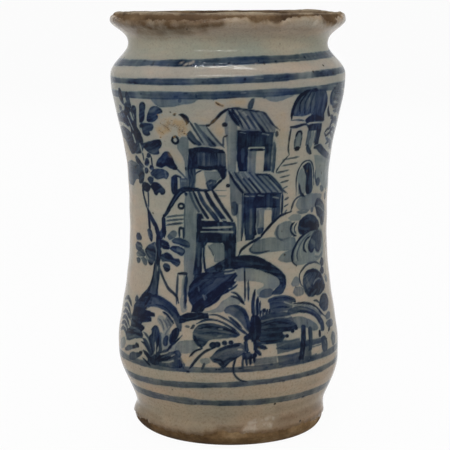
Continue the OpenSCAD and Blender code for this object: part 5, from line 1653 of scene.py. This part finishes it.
def noise(shading, vector, scale, detail, roughness=0.55):
    node = add(shading, "ShaderNodeTexNoise")
    node.inputs["Scale"].default_value = scale
    node.inputs["Detail"].default_value = detail
    node.inputs["Roughness"].default_value = roughness
    link(shading, vector, node.inputs["Vector"])
    return node.outputs["Fac"]


def ramp(shading, value, stops):
    node = add(shading, "ShaderNodeValToRGB")
    elements = node.color_ramp.elements
    while len(elements) > len(stops):
        elements.remove(elements[-1])
    while len(elements) < len(stops):
        elements.new(1.0)
    for element, (position, colour) in zip(elements, stops):
        element.position = position
        element.color = colour if len(colour) == 4 else (*colour, 1.0)
    link(shading, value, node.inputs["Fac"])
    return node.outputs["Color"]


def grey(value):
    return (value, value, value, 1.0)


def greys(shading, value, *stops):
    """A ramp of greys, each with its position."""
    return ramp(shading, value, [(position, grey(level)) for position, level in stops])


def mix(shading, factor, first, second, blend="MIX"):
    node = add(shading, "ShaderNodeMix", data_type="RGBA", blend_type=blend)
    for socket, value in ((node.inputs[0], factor), (node.inputs[6], first), (node.inputs[7], second)):
        if isinstance(value, (int, float, tuple)):
            socket.default_value = value
        else:
            link(shading, value, socket)
    return node.outputs[2]


def tinted(shading, first, second):
    return mix(shading, 1.0, first, second, "MULTIPLY")


def math_node(shading, operation, *values, clamp=False):
    node = add(shading, "ShaderNodeMath", operation=operation, use_clamp=clamp)
    for socket, value in zip(node.inputs, values):
        if isinstance(value, (int, float)):
            socket.default_value = value
        else:
            link(shading, value, socket)
    return node.outputs[0]


def times(shading, first, second, clamp=False):
    return math_node(shading, "MULTIPLY", first, second, clamp=clamp)


def attribute(shading, name):
    return add(shading, "ShaderNodeAttribute", attribute_name=name).outputs["Fac"]


def height_share(shading, vector):
    """Height up the jar, from 0 at its foot to 1 at its lip."""
    parts = add(shading, "ShaderNodeSeparateXYZ")
    link(shading, vector, parts.inputs[0])
    return math_node(shading, "DIVIDE", parts.outputs["Z"], JAR_HEIGHT * MM)


def surface_group(name, inputs, outputs):
    """A node group with named sockets, its input node and its output node."""
    group = bpy.data.node_groups.new(name, "ShaderNodeTree")
    for way, sockets in (("INPUT", inputs), ("OUTPUT", outputs)):
        for label, kind in sockets:
            group.interface.new_socket(label, in_out=way, socket_type=kind)
    return group, add(group, "NodeGroupInput"), add(group, "NodeGroupOutput")


def pitted_glaze_group():
    """Clouded colour, pinholes and a soft uneven surface, shared by both glazes."""
    group, source, sink = surface_group(
        "Pitted glaze",
        (("Vector", "NodeSocketVector"), ("Cloud Scale", "NodeSocketFloat")),
        (("Cloud", "NodeSocketFloat"), ("Pinholes", "NodeSocketFloat"), ("Height", "NodeSocketFloat")),
    )
    vector = source.outputs["Vector"]
    cloud = add(group, "ShaderNodeTexNoise")
    cloud.inputs["Detail"].default_value = 5.0
    cloud.inputs["Roughness"].default_value = 0.6
    link(group, vector, cloud.inputs["Vector"])
    link(group, source.outputs["Cloud Scale"], cloud.inputs["Scale"])
    cells = add(group, "ShaderNodeTexVoronoi", feature="F1")
    cells.inputs["Scale"].default_value = PINHOLES
    link(group, vector, cells.inputs["Vector"])
    hole = greys(group, cells.outputs["Distance"], (0.0, 1.0), (0.10, 0.9), (0.17, 0.0))
    rare = noise(group, vector, PINHOLE_AREAS, 1.0)
    rare = greys(group, rare, (0.60, 0.0), (0.66, 1.0))
    pinholes = times(group, hole, rare)
    peel = noise(group, vector, GLAZE_PEEL, 2.0)
    wave = noise(group, vector, GLAZE_WAVES, 3.0)
    height = math_node(group, "ADD", times(group, peel, 0.25), times(group, wave, 2.3))
    height = math_node(group, "SUBTRACT", height, times(group, pinholes, 1.2))
    link(group, cloud.outputs["Fac"], sink.inputs["Cloud"])
    link(group, pinholes, sink.inputs["Pinholes"])
    link(group, height, sink.inputs["Height"])
    return group


def place_group(shading, group, vector, cloud_scale):
    node = add(shading, "ShaderNodeGroup", node_tree=group)
    node.inputs["Cloud Scale"].default_value = cloud_scale
    link(shading, vector, node.inputs["Vector"])
    return node


def bump(shading, height, distance, strength):
    node = add(shading, "ShaderNodeBump")
    node.inputs["Distance"].default_value = distance
    node.inputs["Strength"].default_value = strength
    link(shading, height, node.inputs["Height"])
    return node.outputs["Normal"]


def finish_surface(shading, base, roughness, normal):
    shader = add(shading, "ShaderNodeBsdfPrincipled")
    output = add(shading, "ShaderNodeOutputMaterial")
    shader.inputs["Specular IOR Level"].default_value = SURFACE_SHINE
    link(shading, base, shader.inputs["Base Color"])
    link(shading, roughness, shader.inputs["Roughness"])
    link(shading, normal, shader.inputs["Normal"])
    link(shading, shader.outputs[0], output.inputs[0])


def worn_clay_group():
    """Bare fired clay: its colour with a painted highlight on the lip's crest, roughness and grit, shared by
    the pot and the worn edges of the glaze.
    """
    group, source, sink = surface_group(
        "Worn clay",
        (("Vector", "NodeSocketVector"),),
        (("Color", "NodeSocketColor"), ("Roughness", "NodeSocketFloat"), ("Height", "NodeSocketFloat")),
    )
    vector = source.outputs["Vector"]
    body = noise(group, vector, CLAY_CLOUDS, 5.0, 0.6)
    colour = ramp(group, body, CLAY)
    share = height_share(group, vector)
    lighter = ramp(group, share, ((0.1, (1.3, 1.28, 1.2)), (0.3, (1.0, 1.0, 1.0))))
    colour = tinted(group, colour, lighter)
    # Paler along the crest of the lip: rubbed clay, and a painted highlight where the crest faces up
    crest = greys(group, share, (0.9935, 0.0), (0.998, 0.8))
    crest = times(group, crest, greys(group, body, (0.4, 0.35), (0.55, 1.0)))
    colour = mix(group, crest, colour, RUBBED_CLAY_AND_HIGHLIGHT)
    grit = noise(group, vector, CLAY_GRIT, 3.0, 0.6)
    colour = tinted(group, colour, greys(group, grit, (0.3, 0.82), (0.62, 1.06)))
    link(group, colour, sink.inputs["Color"])
    link(group, math_node(group, "MULTIPLY_ADD", grit, 0.3, 0.62), sink.inputs["Roughness"])
    link(group, math_node(group, "ADD", times(group, grit, 0.5), body), sink.inputs["Height"])
    return group


def glaze_tint(nodes, vector, cloud, share):
    """The unpainted glaze: its colour by height with painted shade at the lip, clouds, wipe marks, patches
    and speckles.
    """
    # The colour by height holds painted shade on the lip's glaze
    tint = ramp(nodes, share, GLAZE_AND_SHADE_BY_HEIGHT)
    tint = tinted(nodes, tint, ramp(nodes, cloud, CLOUDED))
    # Marks that run level round the jar
    level = add(nodes, "ShaderNodeVectorMath", operation="MULTIPLY")
    level.inputs[1].default_value = (1.0, 1.0, 5.0)
    link(nodes, vector, level.inputs[0])
    wiped = noise(nodes, level.outputs[0], WIPE_MARKS, 4.0, 0.65)
    tint = tinted(nodes, tint, ramp(nodes, wiped, WIPED))
    patch = noise(nodes, level.outputs[0], PATCHES, 5.0, 0.6)
    tint = tinted(nodes, tint, ramp(nodes, patch, PATCHED))
    # Specks, thickest near the foot and the lip
    speckle = noise(nodes, vector, SPECKLES, 3.0, 0.7)
    speckle = tinted(nodes, tint, ramp(nodes, speckle, SPECKLED))
    specked = greys(nodes, share, (0.04, 1.0), (0.2, 0.8), (0.3, 0.4), (0.9, 0.4), (0.97, 0.8))
    return mix(nodes, specked, tint, speckle)


def cobalt_paint(nodes, vector):
    """The painting's filter over the glaze, from the depth of cobalt stored on the mesh."""
    brushed = math_node(nodes, "MULTIPLY_ADD", noise(nodes, vector, BRUSH_GRAIN, 4.0, 0.65), 0.44, 0.78)
    depth = times(nodes, attribute(nodes, "cobalt"), brushed, clamp=True)
    paint = ramp(nodes, depth, COBALT_FILTER)
    hue = ramp(nodes, noise(nodes, vector, HUE_AREAS, 3.0), COBALT_HUES)
    paint = mix(nodes, depth, paint, tinted(nodes, paint, hue))
    # Thin outlines fired a brownish black
    dull = add(nodes, "ShaderNodeRGBToBW")
    link(nodes, paint, dull.inputs[0])
    outline = times(nodes, attribute(nodes, "outline"), 0.85)
    return mix(nodes, outline, paint, dull.outputs[0])


def dirtied(nodes, vector, base, edge, soil):
    """Rust marks, a brown stain that creeps in from the worn edges, rubbed-in soil and chips."""
    ragged = noise(nodes, vector, DIRT_GRAIN, 5.0, 0.7)
    stain = attribute(nodes, "stain")
    creep = greys(nodes, math_node(nodes, "MULTIPLY_ADD", edge, 0.2, 0.95), (0.36, 0.0), (1.0, 0.8))
    creep = times(nodes, creep, greys(nodes, ragged, (0.36, 0.3), (0.6, 1.0)))
    dirt = times(nodes, stain, greys(nodes, ragged, (0.38, 0.1), (0.58, 1.0)))
    dirt = math_node(nodes, "ADD", dirt, creep, clamp=True)
    dirt = math_node(nodes, "MAXIMUM", dirt, greys(nodes, stain, (0.82, 0.0), (0.97, 0.9)))
    base = mix(nodes, dirt, base, ramp(nodes, stain, RUST))
    base = mix(nodes, soil, base, SOIL)
    flaked = greys(nodes, ragged, (0.42, 0.15), (0.56, 1.0))
    flaked = times(nodes, attribute(nodes, "chipped"), flaked, clamp=True)
    return mix(nodes, flaked, base, CHIP)


def painted_glaze(pitted, clay):
    made, nodes = material("painted_tin_glaze")
    vector = add(nodes, "ShaderNodeTexCoord").outputs["Object"]
    glaze = place_group(nodes, pitted, vector, OUTER_CLOUDS)
    cloud = glaze.outputs["Cloud"]
    share = height_share(nodes, vector)
    edge = attribute(nodes, "bare")
    soil = greys(nodes, noise(nodes, vector, SOIL_AREAS, 6.0, 0.7), (0.36, 0.35), (0.56, 1.0))
    soil = times(nodes, attribute(nodes, "soil"), soil, clamp=True)
    base = tinted(nodes, glaze_tint(nodes, vector, cloud, share), cobalt_paint(nodes, vector))
    base = dirtied(nodes, vector, base, edge, soil)
    base = mix(nodes, glaze.outputs["Pinholes"], base, PINHOLE)

    # Bare clay past the worn edges, and soil over it at the lip
    under = add(nodes, "ShaderNodeGroup", node_tree=clay)
    link(nodes, vector, under.inputs["Vector"])
    wander = math_node(nodes, "MULTIPLY_ADD", noise(nodes, vector, WORN_EDGE, 4.0, 0.7), 3.6, -1.8)
    worn = greys(nodes, math_node(nodes, "ADD", edge, wander), (0.0, 0.0), (0.35, 1.0))
    base = mix(nodes, worn, base, under.outputs["Color"])
    lip = greys(nodes, share, (0.93, 0.0), (0.96, 1.0))
    lip = times(nodes, times(nodes, soil, lip), worn)
    base = mix(nodes, times(nodes, lip, 0.85), base, LIP_SOIL)

    roughness = greys(nodes, cloud, (0.36, 0.07), (0.64, 0.22))
    roughness = mix(nodes, worn, roughness, under.outputs["Roughness"])
    height = mix(nodes, worn, glaze.outputs["Height"], under.outputs["Height"])
    finish_surface(nodes, base, roughness, bump(nodes, height, *GLAZE_RELIEF))
    return made


def stained_glaze(pitted):
    made, nodes = material("stained_inner_glaze")
    vector = add(nodes, "ShaderNodeTexCoord").outputs["Object"]
    glaze = place_group(nodes, pitted, vector, INNER_CLOUDS)
    cloud = glaze.outputs["Cloud"]
    base = mix(nodes, glaze.outputs["Pinholes"], ramp(nodes, cloud, INNER_GLAZE), INNER_PINHOLE)
    roughness = greys(nodes, cloud, (0.3, 0.26), (0.7, 0.4))
    finish_surface(nodes, base, roughness, bump(nodes, glaze.outputs["Height"], *INNER_RELIEF))
    return made


def bare_clay(clay):
    made, nodes = material("bare_clay")
    vector = add(nodes, "ShaderNodeTexCoord").outputs["Object"]
    group = add(nodes, "ShaderNodeGroup", node_tree=clay)
    link(nodes, vector, group.inputs["Vector"])
    normal = bump(nodes, group.outputs["Height"], *CLAY_RELIEF)
    finish_surface(nodes, group.outputs["Color"], group.outputs["Roughness"], normal)
    return made


def white_rays(nodes):
    """1 for the rays that see a white backdrop: from the camera, through glass and in reflections."""
    path = add(nodes, "ShaderNodeLightPath")
    seen = math_node(nodes, "MAXIMUM", path.outputs["Is Camera Ray"], path.outputs["Is Transmission Ray"])
    return math_node(nodes, "MAXIMUM", seen, path.outputs["Is Glossy Ray"])


def blended(nodes, factor, first, second, output_kind):
    """Two shaders mixed by a factor, as the output of a material or a world."""
    blend = add(nodes, "ShaderNodeMixShader")
    output = add(nodes, output_kind)
    link(nodes, factor, blend.inputs[0])
    link(nodes, first.outputs[0], blend.inputs[1])
    link(nodes, second.outputs[0], blend.inputs[2])
    link(nodes, blend.outputs[0], output.inputs[0])


def white_floor():
    """Pale floor that the camera sees as white, apart from the jar's own soft shadow."""
    made, nodes = material("floor_paper")
    shader = add(nodes, "ShaderNodeBsdfDiffuse")
    shader.inputs["Color"].default_value = grey(0.6)
    glow = add(nodes, "ShaderNodeEmission")
    glow.inputs["Color"].default_value = grey(0.99)
    seen = times(nodes, white_rays(nodes), 1.0 - FLOOR_SHADE)
    blended(nodes, seen, shader, glow, "ShaderNodeOutputMaterial")
    return made


# The studio


def floor():
    mesh = bpy.data.meshes.new("floor")
    corners = [(FLOOR_REACH * x, FLOOR_REACH * y, 0.0) for x, y in ((-1, -1), (1, -1), (1, 1), (-1, 1))]
    mesh.from_pydata(corners, [], [(0, 1, 2, 3)])
    paper = bpy.data.objects.new("floor", mesh)
    bpy.context.scene.collection.objects.link(paper)
    mesh.materials.append(white_floor())


def studio_world():
    """A soft tent of light: dim where the camera stands, brighter at the sides and overhead."""
    world = bpy.data.worlds.new("studio")
    bpy.context.scene.world = world
    world.use_nodes = True
    nodes = world.node_tree
    nodes.nodes.clear()
    direction = add(nodes, "ShaderNodeSeparateXYZ")
    link(nodes, add(nodes, "ShaderNodeTexCoord").outputs["Generated"], direction.inputs[0])
    behind = math_node(nodes, "MULTIPLY_ADD", direction.outputs["Y"], 0.5, 0.5)
    sides = ramp(nodes, behind, ((0.0, grey(0.03)), (0.6, grey(0.05)), (0.8, (0.11, 0.125, 0.15)),
                                 (0.9, (0.31, 0.35, 0.41)), (0.97, (0.64, 0.7, 0.78))))
    above = greys(nodes, direction.outputs["Z"], (0.35, 0.0), (0.9, 0.5))
    rising = math_node(nodes, "MULTIPLY_ADD", direction.outputs["Z"], 0.5, 0.5)
    below = greys(nodes, rising, (0.25, 0.25), (0.43, 1.0))
    sides = tinted(nodes, sides, below)
    tent = mix(nodes, 1.0, sides, above, "ADD")
    room = add(nodes, "ShaderNodeBackground")
    link(nodes, tent, room.inputs["Color"])
    backdrop = add(nodes, "ShaderNodeBackground")
    backdrop.inputs["Color"].default_value = grey(1.0)
    backdrop.inputs["Strength"].default_value = 1.0
    blended(nodes, white_rays(nodes), room, backdrop, "ShaderNodeOutputWorld")


def soft_box(name, where, aim, size, power, mirrored=True, lighting=True):
    """A lamp in a soft box. Without mirrored it leaves no glint, and without lighting it only glints."""
    lamp = bpy.data.lights.new(name, "AREA")
    lamp.shape = "RECTANGLE"
    lamp.size, lamp.size_y = size
    lamp.energy = power
    box = bpy.data.objects.new(name, lamp)
    box.location = where
    box.rotation_euler = (Vector(aim) - Vector(where)).to_track_quat("-Z", "Y").to_euler()
    box.visible_glossy = mirrored
    box.visible_diffuse = lighting
    bpy.context.scene.collection.objects.link(box)


def lights():
    middle = (0.0, 0.0, 0.1)
    neck = (0.0, 0.0, 0.18)
    over_neck = (0.0, -0.05, 0.18)
    for name, where, aim, size, power in (
        ("high_box", (-0.1, -0.9, 1.5), middle, (0.9, 0.5), 4.3),
        ("left_box", (-1.1, -0.1, 0.3), middle, (0.9, 0.9), 6.6),
        ("right_box", (1.1, -0.1, 0.3), middle, (0.9, 0.9), 6.6),
        ("front_box", (0.0, -1.3, 0.12), middle, (0.9, 0.5), 2.8),
        ("back_box", (0.0, 1.7, 1.2), middle, (0.9, 0.7), 14.0),
        ("fore_box", (-0.06, -0.8, 0.735), neck, (0.34, 0.018), 3.85),
        ("over_box", (-0.04, -0.245, 1.03), over_neck, (0.24, 0.02), 1.9),
    ):
        soft_box(name, where, aim, size, power, mirrored=False)
    soft_box("strip", (-0.1, -0.78, 0.72), (-0.04, 0.0, 0.18), (0.95, 0.018), 18.0, lighting=False)
    soft_box("top_strip", (-0.04, -0.24, 1.0), over_neck, (0.6, 0.02), 10.0, lighting=False)


def camera():
    lens = bpy.data.cameras.new("camera")
    lens.lens = CAMERA_LENS
    lens.sensor_width = CAMERA_SENSOR
    lens.shift_x, lens.shift_y = CAMERA_SHIFT
    eye = bpy.data.objects.new("camera", lens)
    eye.location = (0.0, -CAMERA_DISTANCE, CAMERA_HEIGHT)
    aim = Vector((0.0, 0.0, CAMERA_AIM_HEIGHT)) - eye.location
    eye.rotation_euler = aim.to_track_quat("-Z", "Y").to_euler()
    bpy.context.scene.collection.objects.link(eye)
    bpy.context.scene.camera = eye


def jar():
    canvas = Canvas(GLAZE_COLUMNS, np.linspace(SKIN_START, JAR_HEIGHT - SKIN_STOP_DROP, GLAZE_ROWS))
    front_scene(canvas)
    back_scene(canvas)
    paint_lines(canvas)
    canvas.fire()
    dirt_and_wear(canvas)
    pitted = pitted_glaze_group()
    clay = worn_clay_group()

    skin = outer_glaze(canvas)
    skin.data.materials.append(painted_glaze(pitted, clay))
    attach(skin, "root")
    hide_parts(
        "outer_glaze",
        "foot_line",
        "hip_line",
        "panel_bottom_line",
        "panel_top_line",
        "shoulder_line",
        "neck_line",
    )

    pot = clay_pot()
    pot.data.materials.append(bare_clay(clay))
    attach(pot, "root")
    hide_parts("clay_body")

    lining = inner_glaze()
    lining.data.materials.append(stained_glaze(pitted))
    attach(lining, "root")
    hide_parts("inner_glaze")


bpy.context.scene.view_settings.view_transform = "Standard"
camera()
studio_world()
lights()
floor()
jar()
